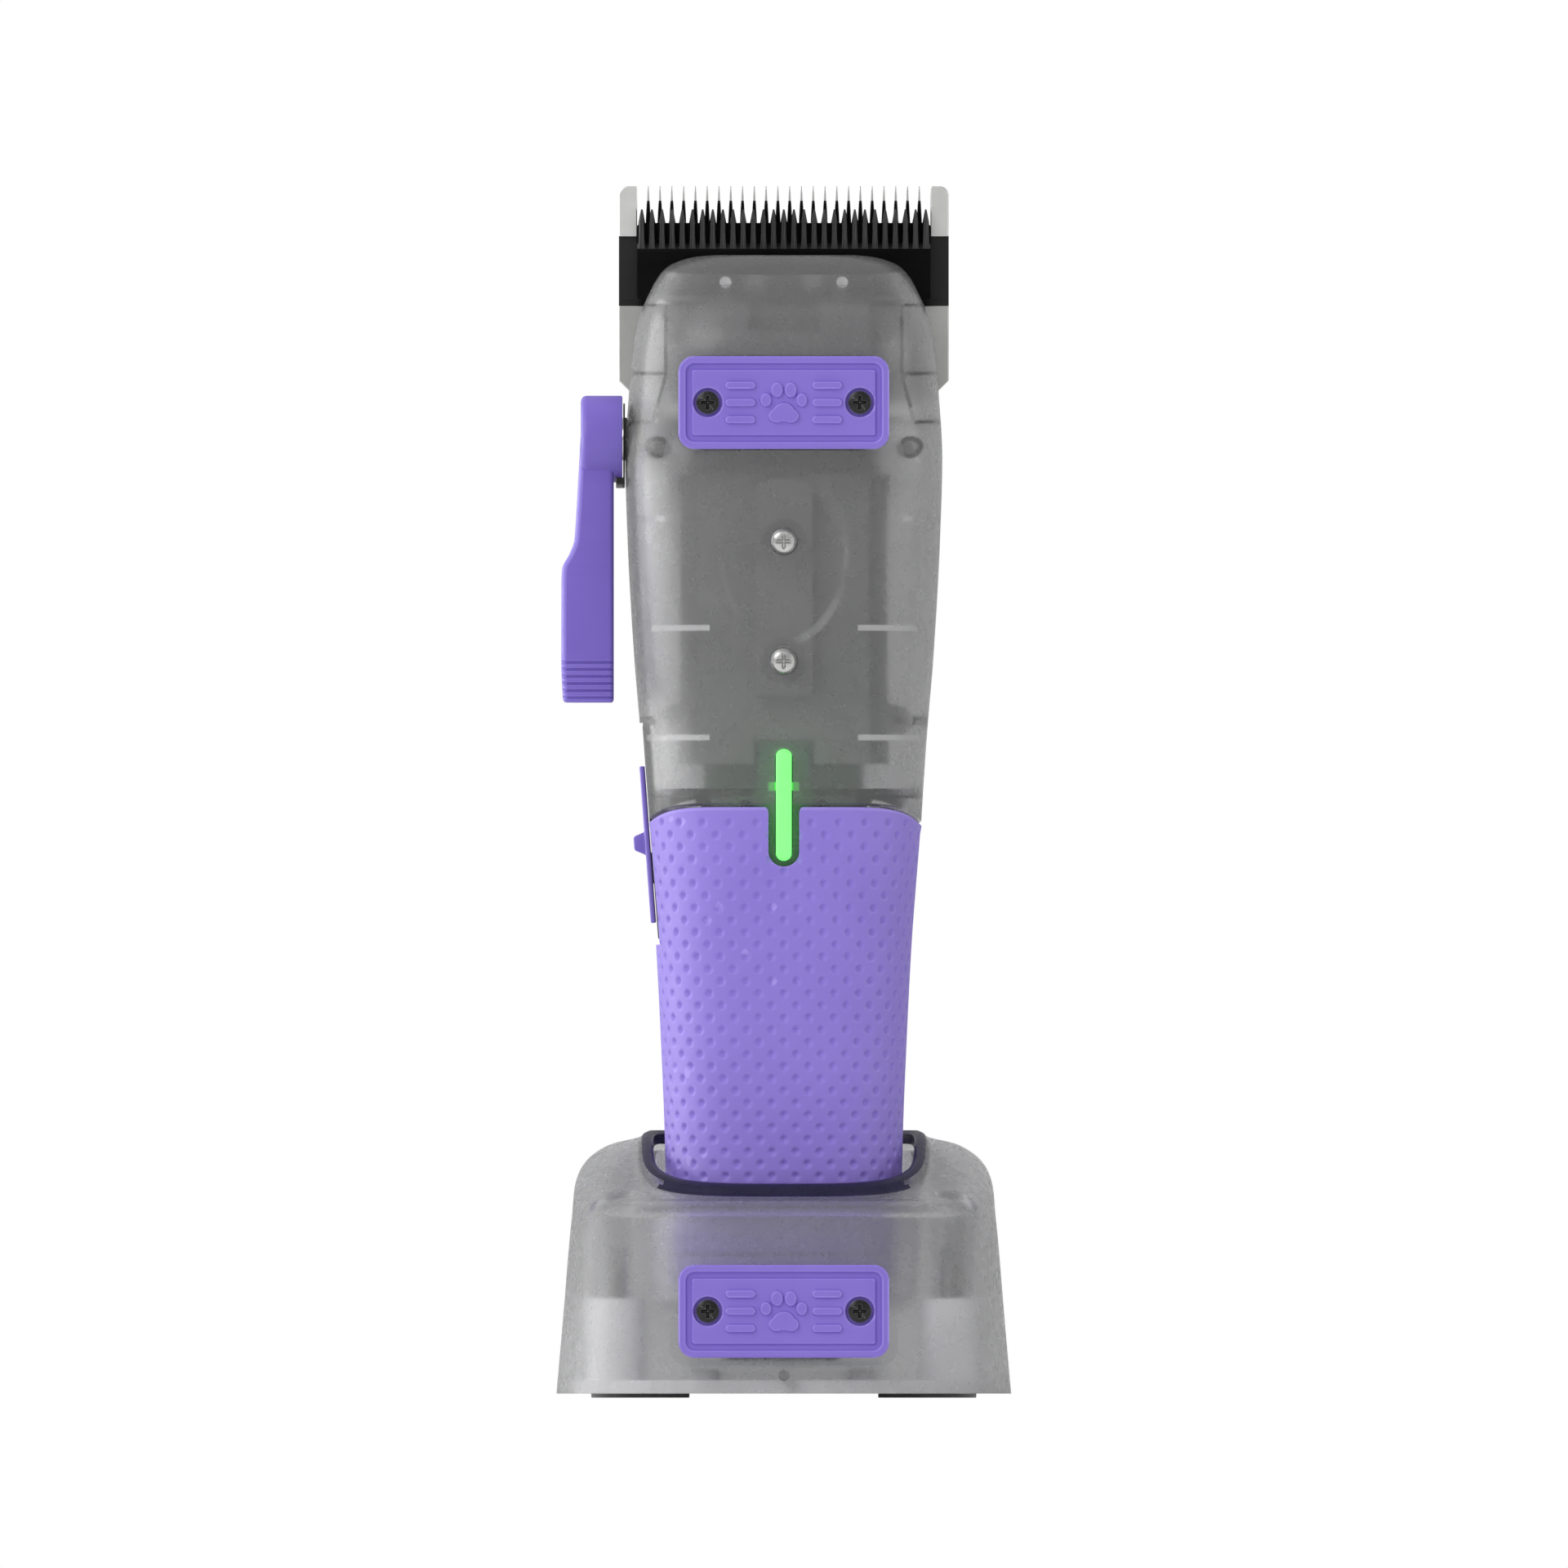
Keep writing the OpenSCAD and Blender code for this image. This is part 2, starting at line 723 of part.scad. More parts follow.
module fixed_blade() {
    side = blade_width / 2;
    t = blade_back - blade_y;
    color(steel)
        difference() {
            union() {
                upright(
                    comb(
                        fixed_teeth, fixed_pitch, side - 2.4, 160.4, 161, tip_height - 2.1,
                        tip_height, [0.85, 0.42, 0.2]
                    ),
                    blade_y, t
                );
                upright(
                    [
                        [-side, 141.8], [-side, 161.5], [side, 161.5], [side, 141.8],
                        [side - 3.3, blade_bottom], [-side + 3.3, blade_bottom]
                    ],
                    blade_y, t
                );
                // Guard teeth at the corners
                for (s = [-1, 1])
                    scale([s, 1, 1]) {
                        block([side - 2.56, blade_y, 161], [side, blade_back, tip_height - 1.25]);
                        block([side - 2.56, blade_y, 161], [side - 1.25, blade_back, tip_height]);
                        along_y(1.25, t, side - 1.25, blade_y, tip_height - 1.25);
                    }
            }
            // Channel the cutter's back edge runs in
            block([-30, blade_y - 1, cutter_bottom], [30, blade_y + 0.8, 161.9]);
            // Back face ground to a bevel behind the teeth
            translate([0, blade_back, 158.5])
                rotate([12.5, 0, 0])
                    block([-30, 0, -6], [30, 10, 16]);
            for (s = [-1, 1])
                along_y(1.6, 6, s * 9.5, blade_y - 1, 143.3);
        }
}

module cutter_blade() {
    half = 20.45;
    root = cutter_tip - 1.9;
    color(black)
        difference() {
            union() {
                upright(
                    comb(cutter_teeth, cutter_pitch, half, 157, root, cutter_tip - 1, cutter_tip, [1.05, 0.62, 0.28]),
                    cutter_front + 1.2, cutter_back - cutter_front - 1.2
                );
                upright(
                    comb(
                        cutter_teeth, cutter_pitch, half, 157, root - 3.2, cutter_tip - 1,
                        cutter_tip, [0.8, 0.62, 0.28]
                    ),
                    cutter_front, 1.3
                );
                upright(
                    [[-half, cutter_bottom], [-half, 157.5], [half, 157.5], [half, cutter_bottom]],
                    cutter_front, cutter_back - cutter_front
                );
            }
            for (s = [-1, 1])
                along_y(0.82, 2.2, s * 4, cutter_front - 1, 155.2);
        }
}

module blade_seat() {
    color([0.16, 0.16, 0.17])
        difference() {
            union() {
                block([-11.8, 2.3, 139], [11.8, blade_y - 0.05, 148]);
                block([-11.6, -4.2, crank_z - 2.5], [-9.2, 0.9, 148]);
                block([-11.6, 0.8, 139], [-9.2, 2.4, 148]);
            }
            // Slot for the crank pin
            block([-13, crank_y - 1.5, crank_z - 1.3], [-8, crank_y + 1.8, crank_z + 1.3]);
            for (s = [-1, 1])
                along_y(1.52, 6, s * 9.5, 3.4, 143.3);
        }
}

module blade_screws() {
    color(steel)
        for (s = [-1, 1])
            translate([s * 9.5, blade_back + 1.45, 143.3])
                rotate([0, 0, 180])
                    cross_screw(2.4, 1.4, 1.5, 6.2);
}

// Wire spring that holds the cutter down on the fixed blade
module tension_spring() {
    y = 1.7;
    r = 0.4;
    color(steel) {
        along_x(r, 14.2, -7.1, y, 139.8);
        for (s = [-1, 1]) {
            translate([s * 8.1, y, 140.8])
                cylinder(r = r, h = 14.6);
            translate([s * 7.1, y, 140.8])
                rotate([90, s > 0 ? 90 : 180, 0])
                    rotate_extrude(angle = 90)
                        translate([1, 0])
                            circle(r = r);
            along_y(r, 2.5, s * 8.1, y, 155.4);
        }
    }
}

// ---- Taper lever ----

module taper_lever() {
    bottom = lever_z - lever_length;
    color([0.45, 0.38, 0.78])
        difference() {
            union() {
                along_x(6.05, 5.8, -28.3, lever_y, lever_z);
                // Arm and paddle drawn as one outline, stepping outwards half way down
                translate([0, lever_y + 4.5, 0])
                    rotate([90, 0, 0])
                        linear_extrude(height = 9)
                            polygon(concat(
                                [[-23.7, bottom], [-23.7, lever_z], [-28.3, lever_z], [-29.1, 120.2]],
                                [
                                    for (t = [0 : 0.125 : 1])
                                        [mix(-29.1, -31, smooth(t)), mix(119.8, 115.4, t)]
                                ],
                                [[-31.05, 102.4], [-30.8, bottom]]
                            ));
            }
            // Finger ridges at the free end
            for (i = [0 : 5])
                for (s = [-1, 1])
                    along_x(0.35, 12, -33, lever_y + s * 4.6, bottom + 0.7 + i);
            along_x(1.3, 12, -30, lever_y, lever_z);
            along_x(2.8, 4, -30, lever_y, lever_z);
            // Round socket for the end of the crank
            along_x(3.02, 3, -25.2, lever_y, lever_z);
        }
}

// Thrust washer behind the lever's hub, with a lip under the hub
module lever_collar() {
    color(black)
        difference() {
            union() {
                along_x(5, 0.25, -22.4, lever_y, lever_z);
                intersection() {
                    along_x(6.85, 1.25, -23.4, lever_y, lever_z);
                    block([-24, lever_y - 3, lever_z - 7], [-22, lever_y + 3, lever_z - 4.4]);
                }
            }
            along_x(6.15, 1.6, -24, lever_y, lever_z);
            along_x(3.06, 4, -25, lever_y, lever_z);
        }
}

module lever_crank() {
    color(steel)
        difference() {
            union() {
                along_x(3, 7.2, -25, lever_y, lever_z);
                along_x(5, 1.9, -18.3, lever_y, lever_z);
                along_x(1.2, 7.2, -16.5, crank_y, crank_z);
            }
            along_x(1.02, 6, -26, lever_y, lever_z);
        }
}

module lever_screw() {
    color(steel)
        translate([-27.9, lever_y, lever_z])
            rotate([0, 0, -90])
                cross_screw(2.4, 1.7, 1, 5.2);
}

module wave_washer() {
    color(brass)
        difference() {
            along_x(4.6, 0.3, -18.9, lever_y, lever_z);
            along_x(3.1, 2, -20, lever_y, lever_z);
        }
}

// ---- Controls, battery and boards ----

module power_slider() {
    color([0.43, 0.35, 0.76])
        on_slide() {
            block([-0.85, -5, -10.95], [-0.1, 5, 10.95]);
            // Thumb nub, a wedge with a step on its lower side
            translate([0, 4, 0])
                rotate([90, 0, 0])
                    linear_extrude(height = 8)
                        polygon([[-0.5, -1.6], [-0.5, 1.9], [-2.4, 1.2], [-2.4, -0.7]]);
            // Stem that reaches the switch
            block([-0.5, -1.3, -5.4], [5.6, 1.3, -1.2]);
        }
}

module slider_bezel() {
    color(steel)
        on_slide()
            difference() {
                block([0, -6.6, -13.2], [0.5, 6.6, 16.6]);
                block([-1, -1.7, -6], [2, 1.7, 6]);
            }
}

module switch_body() {
    color(black)
        difference() {
            block([-14.2, -3.5, 68.5], [-9.8, 3.5, 84]);
            block([-15, -1.7, 70.2], [-11.6, 1.7, 82.4]);
        }
}

module battery_cell() {
    color([0.25, 0.5, 0.75])
        translate([0, cell_y, 24]) {
            cylinder(r = cell_diameter / 2, h = cell_length - 1);
            translate([0, 0, cell_length - 1])
                cylinder(r = 3, h = 1);
        }
}

module main_board() {
    color(board_green) {
        block([-11, -9.6, 26], [11, -8, 92]);
        block([-4, -10.9, 40], [4, -9.5, 48]);
        block([-8, -10.6, 56], [-3, -9.5, 62]);
        block([3, -10.6, 58], [8, -9.5, 63]);
        along_y(2.5, 2.5, -6, -12, 70);
    }
}

module light_board() {
    color(board_green) {
        block([-3.6, -13.4, 73.4], [3.6, -12.2, 91.6]);
        for (z = [77, 82.5, 88])
            block([-0.8, -13.8, z - 0.8], [0.8, -13.3, z + 0.8]);
    }
}

module contact_plates() {
    color(brass)
        for (s = [-1, 1])
            block([s * pin_x - 1.9, -2.9, 15], [s * pin_x + 1.9, 2.9, 15.5]);
}

// ---- Charging stand ----

module stand_shell() {
    color(smoke)
        difference() {
            union() {
                wall([for (r = stand_outer) stand_row(r)], [for (r = stand_inner) stand_row(r)], closed = true);
                for (p = pillars)
                    translate([p.x, p.y, 14.1])
                        cylinder(r = 2.6, h = (p.y < 0 ? 28.1 : 33.6) - 14.1);
            }
            for (p = pillars)
                translate([p.x, p.y, 13])
                    cylinder(r = 1.42, h = 8);
            // Pocket for the badge
            translate([0, 0, stand_badge_z - 0.3])
                rounded_plate(31.8, 14.5, 2.4, -36, 4.15);
            for (s = [-1, 1])
                along_y(0.86, 6, s * badge_screw_x, -35, stand_badge_z);
            // Charging socket at the back and the indicator at the front
            translate([0, 0, 7.25])
                rounded_plate(9.8, 4, 1.9, 28, 8);
            along_y(0.85, 8, 0, -36, 3.1);
        }
}

module stand_cradle() {
    function row(w, d, zf, zb) = stand_row([w, d, zf, zb]);
    color([0.35, 0.35, 0.37, 0.7])
        difference() {
            union() {
                wall(
                    [row(18.3, 16.8, 11.9, 11.9), row(18.9, 17.4, 20, 20), row(19.5, 18.2, 26.3, 34.5)],
                    [row(16.7, 15.2, 11.9, 11.9), row(17.3, 15.8, 20, 20), row(17.9, 16.6, 26.3, 34.5)],
                    closed = true
                );
                stack([row(17.3, 15.8, 11.9, 11.9), row(17.3, 15.8, 13.5, 13.5)]);
            }
            for (s = [-1, 1])
                translate([s * pin_x, 0, 10])
                    cylinder(r = 1.2, h = 5);
        }
}

module stand_base() {
    color([0.3, 0.3, 0.3])
        difference() {
            union() {
                stack([stand_row([29.8, 31.1, 0.6, 0.6]), stand_row([29.6, 30.9, 2.4, 2.4])]);
                for (p = pillars)
                    translate([p.x, p.y, 2])
                        cylinder(r = 4, h = 11.8);
                for (x = [-11, 11])
                    for (y = [-10, 22])
                        translate([x, y, 2])
                            cylinder(r = 2, h = 1.8);
            }
            for (p = pillars)
                translate([p.x, p.y, 0]) {
                    cylinder(r = 2.9, h = 11.4);
                    cylinder(r = 1.6, h = 15);
                }
            foot_shapes(0.1, 1.1);
        }
}

// The four feet, each side made longer by the gap given, up to the height given
module foot_shapes(gap, top) {
    for (x = [-20, 20])
        for (y = [-14, 14])
            block([x - 6.85 - gap, y - 6 - gap, 0], [x + 6.85 + gap, y + 6 + gap, top]);
}

module stand_feet() {
    color([0.28, 0.28, 0.27])
        foot_shapes(0, 1);
}

module stand_badge() {
    color(purple)
        translate([0, stand_badge_y, stand_badge_z])
            badge();
}

module stand_badge_screws() {
    color(black)
        badge_screws(stand_badge_y + 0.35, stand_badge_z, 5);
}

module base_screws() {
    color(steel)
        for (p = pillars)
            translate([p.x, p.y, 9.4])
                rotate([90, 0, 0])
                    cross_screw(2.6, 1.9, 1.4, 7.4);
}

module stand_board() {
    color(board_green) {
        block([-14, -14, 3.9], [14, 30, 5.4]);
        block([-9, 12, 5.3], [-3, 18, 6.4]);
        block([4, 13, 5.3], [8, 17, 6.8]);
    }
}

module pin_block() {
    color(black)
        difference() {
            block([-8, -4, 5.5], [8, 4, 11.7]);
            for (s = [-1, 1])
                translate([s * pin_x, 0, 0]) {
                    translate([0, 0, 6.1])
                        cylinder(r = 1.55, h = 4.2);
                    translate([0, 0, 9])
                        cylinder(r = 0.97, h = 6);
                }
        }
}

module charging_pin() {
    color(brass) {
        translate([0, 0, 8.9])
            cylinder(r = 0.9, h = 5.8);
        translate([0, 0, 8.9])
            cylinder(r = 1.45, h = 1);
    }
}

module pin_left() {
    translate([-pin_x, 0, 0])
        charging_pin();
}

module pin_right() {
    translate([pin_x, 0, 0])
        charging_pin();
}

// Coil spring under a charging pin
module pin_spring() {
    turns = 3.5;
    steps = 10;
    color(steel)
        stack([
            for (i = [0 : turns * steps])
                let (a = 360 * i / steps, rise = 6.35 + 2.3 * i / (turns * steps))
                [
                    for (k = [0 : 5])
                        let (b = 60 * k, r = 1.2 - 0.16 * cos(b))
                        [r * cos(a), r * sin(a), rise + 0.16 * sin(b)]
                ]
        ]);
}

module pin_spring_left() {
    translate([-pin_x, 0, 0])
        pin_spring();
}

module pin_spring_right() {
    translate([pin_x, 0, 0])
        pin_spring();
}

module stand_inlet() {
    color(steel)
        difference() {
            translate([0, 0, 7.25])
                rounded_plate(9, 3.2, 1.55, 25.8, 7.3);
            translate([0, 0, 7.25])
                rounded_plate(8.3, 2.5, 1.24, 27, 8);
        }
    color(black)
        block([-3.3, 26.9, 6.9], [3.3, 31.5, 7.6]);
}

module stand_indicator() {
    color(black)
        along_y(0.8, 2.4, 0, -33.7, 3.1);
}

front_shell();
rear_shell();
grip_sleeve();
tail_cap();
chassis();
light_pipe();
head_badge();
head_badge_screws();
centre_screws();
housing_screws();
motor_can();
motor_end_cap();
motor_screws();
motor_shaft();
eccentric_cam();
cam_bearing();
cutter_yoke();
cutter_blade();
yoke_screws();
tension_spring();
fixed_blade();
blade_seat();
blade_screws();
taper_lever();
lever_collar();
lever_crank();
lever_screw();
wave_washer();
power_slider();
slider_bezel();
switch_body();
battery_cell();
main_board();
light_board();
contact_plates();
stand_shell();
stand_cradle();
stand_base();
stand_feet();
stand_badge();
stand_badge_screws();
base_screws();
stand_board();
pin_block();
pin_left();
pin_right();
pin_spring_left();
pin_spring_right();
stand_inlet();
stand_indicator();
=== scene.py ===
import json
import math

import bmesh
import bpy
import numpy as np
from mathutils import Matrix, Vector


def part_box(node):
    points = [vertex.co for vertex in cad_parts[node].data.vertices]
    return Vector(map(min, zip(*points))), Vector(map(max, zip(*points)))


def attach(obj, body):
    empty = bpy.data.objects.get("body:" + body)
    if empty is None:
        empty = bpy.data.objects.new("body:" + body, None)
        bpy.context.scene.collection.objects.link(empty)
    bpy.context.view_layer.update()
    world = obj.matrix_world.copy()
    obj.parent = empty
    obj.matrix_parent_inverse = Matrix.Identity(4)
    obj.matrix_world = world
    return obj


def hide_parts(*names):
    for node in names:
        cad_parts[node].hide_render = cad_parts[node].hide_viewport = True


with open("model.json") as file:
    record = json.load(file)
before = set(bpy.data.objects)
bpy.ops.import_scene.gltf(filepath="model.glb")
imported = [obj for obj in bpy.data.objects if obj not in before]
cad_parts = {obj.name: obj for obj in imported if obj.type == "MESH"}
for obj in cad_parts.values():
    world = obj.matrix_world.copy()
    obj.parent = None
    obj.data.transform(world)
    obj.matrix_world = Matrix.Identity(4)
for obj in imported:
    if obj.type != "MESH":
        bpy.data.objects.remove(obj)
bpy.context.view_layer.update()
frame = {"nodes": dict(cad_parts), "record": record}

MM = 0.001
nodes = frame["nodes"]


def mid(name):
    lo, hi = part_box(name)
    return (np.array(lo) + np.array(hi)) / 2 / MM


def low(name):
    return np.array(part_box(name)[0]) / MM


def high(name):
    return np.array(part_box(name)[1]) / MM


# ---------------------------------------------------------------- materials


def tree_of(name):
    m = bpy.data.materials.new(name)
    m.use_nodes = True
    nt = m.node_tree
    nt.nodes.clear()
    out = nt.nodes.new("ShaderNodeOutputMaterial")
    p = nt.nodes.new("ShaderNodeBsdfPrincipled")
    nt.links.new(p.outputs[0], out.inputs[0])
    co = nt.nodes.new("ShaderNodeTexCoord")
    return m, nt, p, co.outputs["Object"]


def noise(nt, co, scale, detail=3.0, rough=0.55, stretch=(1, 1, 1)):
    mp = nt.nodes.new("ShaderNodeMapping")
    mp.inputs["Scale"].default_value = stretch
    nt.links.new(co, mp.inputs["Vector"])
    n = nt.nodes.new("ShaderNodeTexNoise")
    n.inputs["Scale"].default_value = scale
    n.inputs["Detail"].default_value = detail
    n.inputs["Roughness"].default_value = rough
    nt.links.new(mp.outputs[0], n.inputs["Vector"])
    return n.outputs["Fac"]


def remap(nt, value, lo, hi, a=0.3, b=0.7):
    r = nt.nodes.new("ShaderNodeMapRange")
    r.inputs["From Min"].default_value = a
    r.inputs["From Max"].default_value = b
    r.inputs["To Min"].default_value = lo
    r.inputs["To Max"].default_value = hi
    nt.links.new(value, r.inputs["Value"])
    return r.outputs["Result"]


def blend_colour(nt, fac, a, b):
    m = nt.nodes.new("ShaderNodeMix")
    m.data_type = "RGBA"
    for sock, v in ((m.inputs[6], a), (m.inputs[7], b)):
        if hasattr(v, "links"):
            nt.links.new(v, sock)
        else:
            sock.default_value = (*v, 1)
    nt.links.new(fac, m.inputs[0])
    return m.outputs[2]


def edge_wear(nt, lo, hi):
    g = nt.nodes.new("ShaderNodeNewGeometry")
    return remap(nt, g.outputs["Pointiness"], 0, 1, lo, hi)


def plastic(name, dark, light, rough=(0.4, 0.55), grain=2600, bump=0.12, mottle=90, wear=None, coat=0.0,
            metal=0.0, stretch=(1, 1, 1), depth=0.00006, shine=0.5):
    """Moulded plastic, rubber or metal: colour mottle, roughness variation, fine grain and rubbed edges."""
    m, nt, p, co = tree_of(name)
    base = blend_colour(nt, remap(nt, noise(nt, co, mottle), 0, 1), dark, light)
    if wear:
        base = blend_colour(nt, edge_wear(nt, 0.51, 0.56), base, wear)
    nt.links.new(base, p.inputs["Base Color"])
    nt.links.new(remap(nt, noise(nt, co, mottle * 4, stretch=stretch), *rough), p.inputs["Roughness"])
    b = nt.nodes.new("ShaderNodeBump")
    b.inputs["Strength"].default_value = bump
    b.inputs["Distance"].default_value = depth
    nt.links.new(noise(nt, co, grain, 2.0, stretch=stretch), b.inputs["Height"])
    nt.links.new(b.outputs[0], p.inputs["Normal"])
    p.inputs["Metallic"].default_value = metal
    p.inputs["Coat Weight"].default_value = coat
    p.inputs["Coat Roughness"].default_value = 0.2
    p.inputs["Specular IOR Level"].default_value = shine
    return m


def smoky(name, dark, light, rough=(0.26, 0.36), clear=0.8, ior=1.36, shine=0.5):
    """Frosted see-through plastic; clear is the share of light that goes through."""
    m, nt, p, co = tree_of(name)
    nt.links.new(blend_colour(nt, remap(nt, noise(nt, co, 60), 0, 1), dark, light), p.inputs["Base Color"])
    nt.links.new(remap(nt, noise(nt, co, 240), *rough), p.inputs["Roughness"])
    b = nt.nodes.new("ShaderNodeBump")
    b.inputs["Strength"].default_value = 0.05
    b.inputs["Distance"].default_value = 0.00003
    nt.links.new(noise(nt, co, 900, 1.0), b.inputs["Height"])
    nt.links.new(b.outputs[0], p.inputs["Normal"])
    p.inputs["Transmission Weight"].default_value = clear
    p.inputs["IOR"].default_value = ior
    p.inputs["Specular IOR Level"].default_value = shine
    # Shadows through the plastic are tinted, not solid
    path = nt.nodes.new("ShaderNodeLightPath")
    seen = nt.nodes.new("ShaderNodeBsdfTransparent")
    mix = nt.nodes.new("ShaderNodeMixShader")
    seen.inputs["Color"].default_value = (*[c ** 0.5 for c in light], 1)
    nt.links.new(path.outputs["Is Shadow Ray"], mix.inputs[0])
    nt.links.new(p.outputs[0], mix.inputs[1])
    nt.links.new(seen.outputs[0], mix.inputs[2])
    nt.links.new(mix.outputs[0], nt.nodes["Material Output"].inputs[0])
    return m


def glowing(name, colour, strength, lamp=False):
    """Plastic that gives off light; a lamp also lights what is round it."""
    m, nt, p, co = tree_of(name)
    nt.links.new(blend_colour(nt, remap(nt, noise(nt, co, 400), 0, 1), [c * 0.8 for c in colour], colour),
                 p.inputs["Base Color"])
    p.inputs["Emission Color"].default_value = (*colour, 1)
    p.inputs["Emission Strength"].default_value = strength
    nt.links.new(remap(nt, noise(nt, co, 900), 0.3, 0.45), p.inputs["Roughness"])
    if not lamp:
        m.cycles.emission_sampling = "NONE"
    return m


GRIP = plastic("grip_satin", (0.235, 0.165, 0.61), (0.26, 0.187, 0.655), (0.48, 0.6), 3200, 0.15, 70,
               wear=(0.33, 0.25, 0.73))
BADGE = plastic("badge_satin", (0.205, 0.14, 0.575), (0.225, 0.155, 0.61), (0.42, 0.52), 3000, 0.1, 90,
                wear=(0.33, 0.25, 0.74))
LEVER = plastic("lever_satin", (0.145, 0.093, 0.46), (0.162, 0.106, 0.5), (0.38, 0.48), 3000, 0.1, 90,
                wear=(0.22, 0.16, 0.6))
SMOKE = smoky("smoke_frost", (0.6, 0.6, 0.605), (0.64, 0.64, 0.645), (0.24, 0.3), 0.9)
STAND = smoky("smoke_stand", (0.69, 0.69, 0.695), (0.73, 0.73, 0.735), (0.24, 0.3), 0.92, 1.13, 0.2)
# Painted light: inner ribs and a post glow faintly, though no lamp lights them
RIB_PAINTED_GLOW = glowing("rib_painted_glow", (0.5, 0.5, 0.505), 0.36)
# Painted shade: dark lines for the fine ribs, upright ribs and pegs inside the shell
RIB_PAINTED_SHADE = plastic("rib_painted_shade", (0.05, 0.05, 0.052), (0.07, 0.07, 0.072), (0.4, 0.5), 1500, 0.1, 200)
# Painted shade: the inside of the nose is coloured dark
NOSE_PAINTED_SHADE = plastic("nose_painted_shade", (0.045, 0.045, 0.046), (0.06, 0.06, 0.062), (0.4, 0.5), 1500, 0.1, 200)
# Painted shade and reflection: dark purple band round the stand's opening
OPENING_PAINTED_SHADE = plastic("opening_painted_shade", (0.014, 0.012, 0.036), (0.02, 0.017, 0.05), (0.25, 0.35), 1500, 0.1, 200,
              shine=0.2)
BLADE = plastic("blade_ground", (0.5, 0.5, 0.49), (0.58, 0.58, 0.57), (0.3, 0.42), 700, 0.15, 120,
                metal=1.0, stretch=(1, 1, 14), depth=0.00002)
# Painted highlight: a lighter copy of the blade steel for the fixed blade's top corners
BLADE_CORNER_PAINTED_HIGHLIGHT = plastic("blade_corner_painted_highlight", (0.7, 0.7, 0.69), (0.8, 0.8, 0.79), (0.34, 0.46), 700, 0.15, 120, metal=1.0,
                stretch=(1, 1, 14), depth=0.00002)
# Black for the lever collar; also painted shadow in the fixed blade's channel, and its dark lower teeth
BLACK_AND_PAINTED_SHADOW = plastic("blade_black_and_painted_shadow", (0.01, 0.01, 0.011), (0.016, 0.016, 0.017), (0.3, 0.4), 700, 0.15, 120,
                stretch=(1, 1, 14), depth=0.00002, shine=0.3)
CHASSIS = plastic("chassis_grey", (0.17, 0.17, 0.172), (0.2, 0.2, 0.202), (0.5, 0.65), 1800, 0.1, 140)
CUTTER = plastic("cutter_black", (0.002, 0.002, 0.0021), (0.004, 0.004, 0.0042), (0.3, 0.42), 900, 0.2, 150,
                 stretch=(1, 1, 8), shine=0.05)
SCREW = plastic("screw_black", (0.012, 0.012, 0.012), (0.022, 0.022, 0.022), (0.2, 0.34), 1500, 0.15, 500,
                wear=(0.1, 0.1, 0.1), metal=0.4)
BRIGHT = plastic("steel_bright", (0.58, 0.58, 0.57), (0.72, 0.72, 0.71), (0.18, 0.3), 1500, 0.12, 300,
                 metal=1.0)
MOTOR = plastic("motor_plate", (0.4, 0.4, 0.41), (0.52, 0.52, 0.53), (0.3, 0.45), 1200, 0.15, 150, metal=1.0)
INNER = plastic("inner_matt", (0.1, 0.1, 0.102), (0.13, 0.13, 0.132), (0.5, 0.65), 2400, 0.2, 140,
                wear=(0.18, 0.18, 0.182))
CRADLE = smoky("cradle_smoke", (0.86, 0.86, 0.865), (0.9, 0.9, 0.905), (0.2, 0.3), 0.92)
TOOTH = plastic("cutter_ground", (0.022, 0.022, 0.023), (0.035, 0.035, 0.036), (0.3, 0.42), 900, 0.2, 150,
                stretch=(1, 1, 8), shine=0.3)
BEZEL = plastic("bezel_dark", (0.03, 0.03, 0.031), (0.045, 0.045, 0.046), (0.45, 0.6), 2400, 0.2, 140)
BASE = plastic("base_grey", (0.82, 0.82, 0.825), (0.88, 0.88, 0.885), (0.5, 0.65), 2400, 0.2, 140)
RUBBER = plastic("foot_rubber", (0.36, 0.35, 0.35), (0.42, 0.41, 0.41), (0.65, 0.8), 2000, 0.35, 160)
BRASS = plastic("contact_gold", (0.62, 0.45, 0.18), (0.76, 0.58, 0.27), (0.2, 0.32), 1500, 0.12, 400,
                metal=1.0)
CELL = plastic("cell_wrap", (0.04, 0.16, 0.36), (0.05, 0.2, 0.43), (0.25, 0.4), 800, 0.1, 60, coat=0.4)
BOARD = plastic("board_mask", (0.008, 0.07, 0.035), (0.014, 0.1, 0.05), (0.25, 0.4), 700, 0.2, 300, coat=0.3)
LIGHT = glowing("light_green", (0.15, 0.82, 0.15), 0.95)
LIGHT_SIDE = glowing("light_green_side", (0.1, 0.8, 0.1), 2.5, lamp=True)
LIGHT_LUG = glowing("light_green_lug", (0.05, 0.42, 0.05), 0.8)
WHITE_BOARD = plastic("board_white", (0.55, 0.57, 0.55), (0.62, 0.64, 0.62), (0.3, 0.45), 700, 0.2, 300)

FINISH = {
    "grip_purple": GRIP, "badge_purple": BADGE, "lever_purple": LEVER, "smoky_plastic": SMOKE,
    "inner_plastic": INNER, "cradle_plastic": CRADLE, "light_guide": LIGHT, "blade_steel": BLADE,
    "cutter_black": CUTTER, "bright_steel": BRIGHT, "screw_black": SCREW, "motor_steel": MOTOR,
    "sprung_brass": BRASS, "cell_wrap": CELL, "circuit_board": BOARD, "foot_rubber": RUBBER,
}
slots = {s["node"]: s["material_slot"] for s in frame["record"]["subparts"]}
body_of = {n: b for b, names in frame["record"]["behaviour"]["bodies"].items() for n in names}

# ---------------------------------------------------------------- mesh helpers


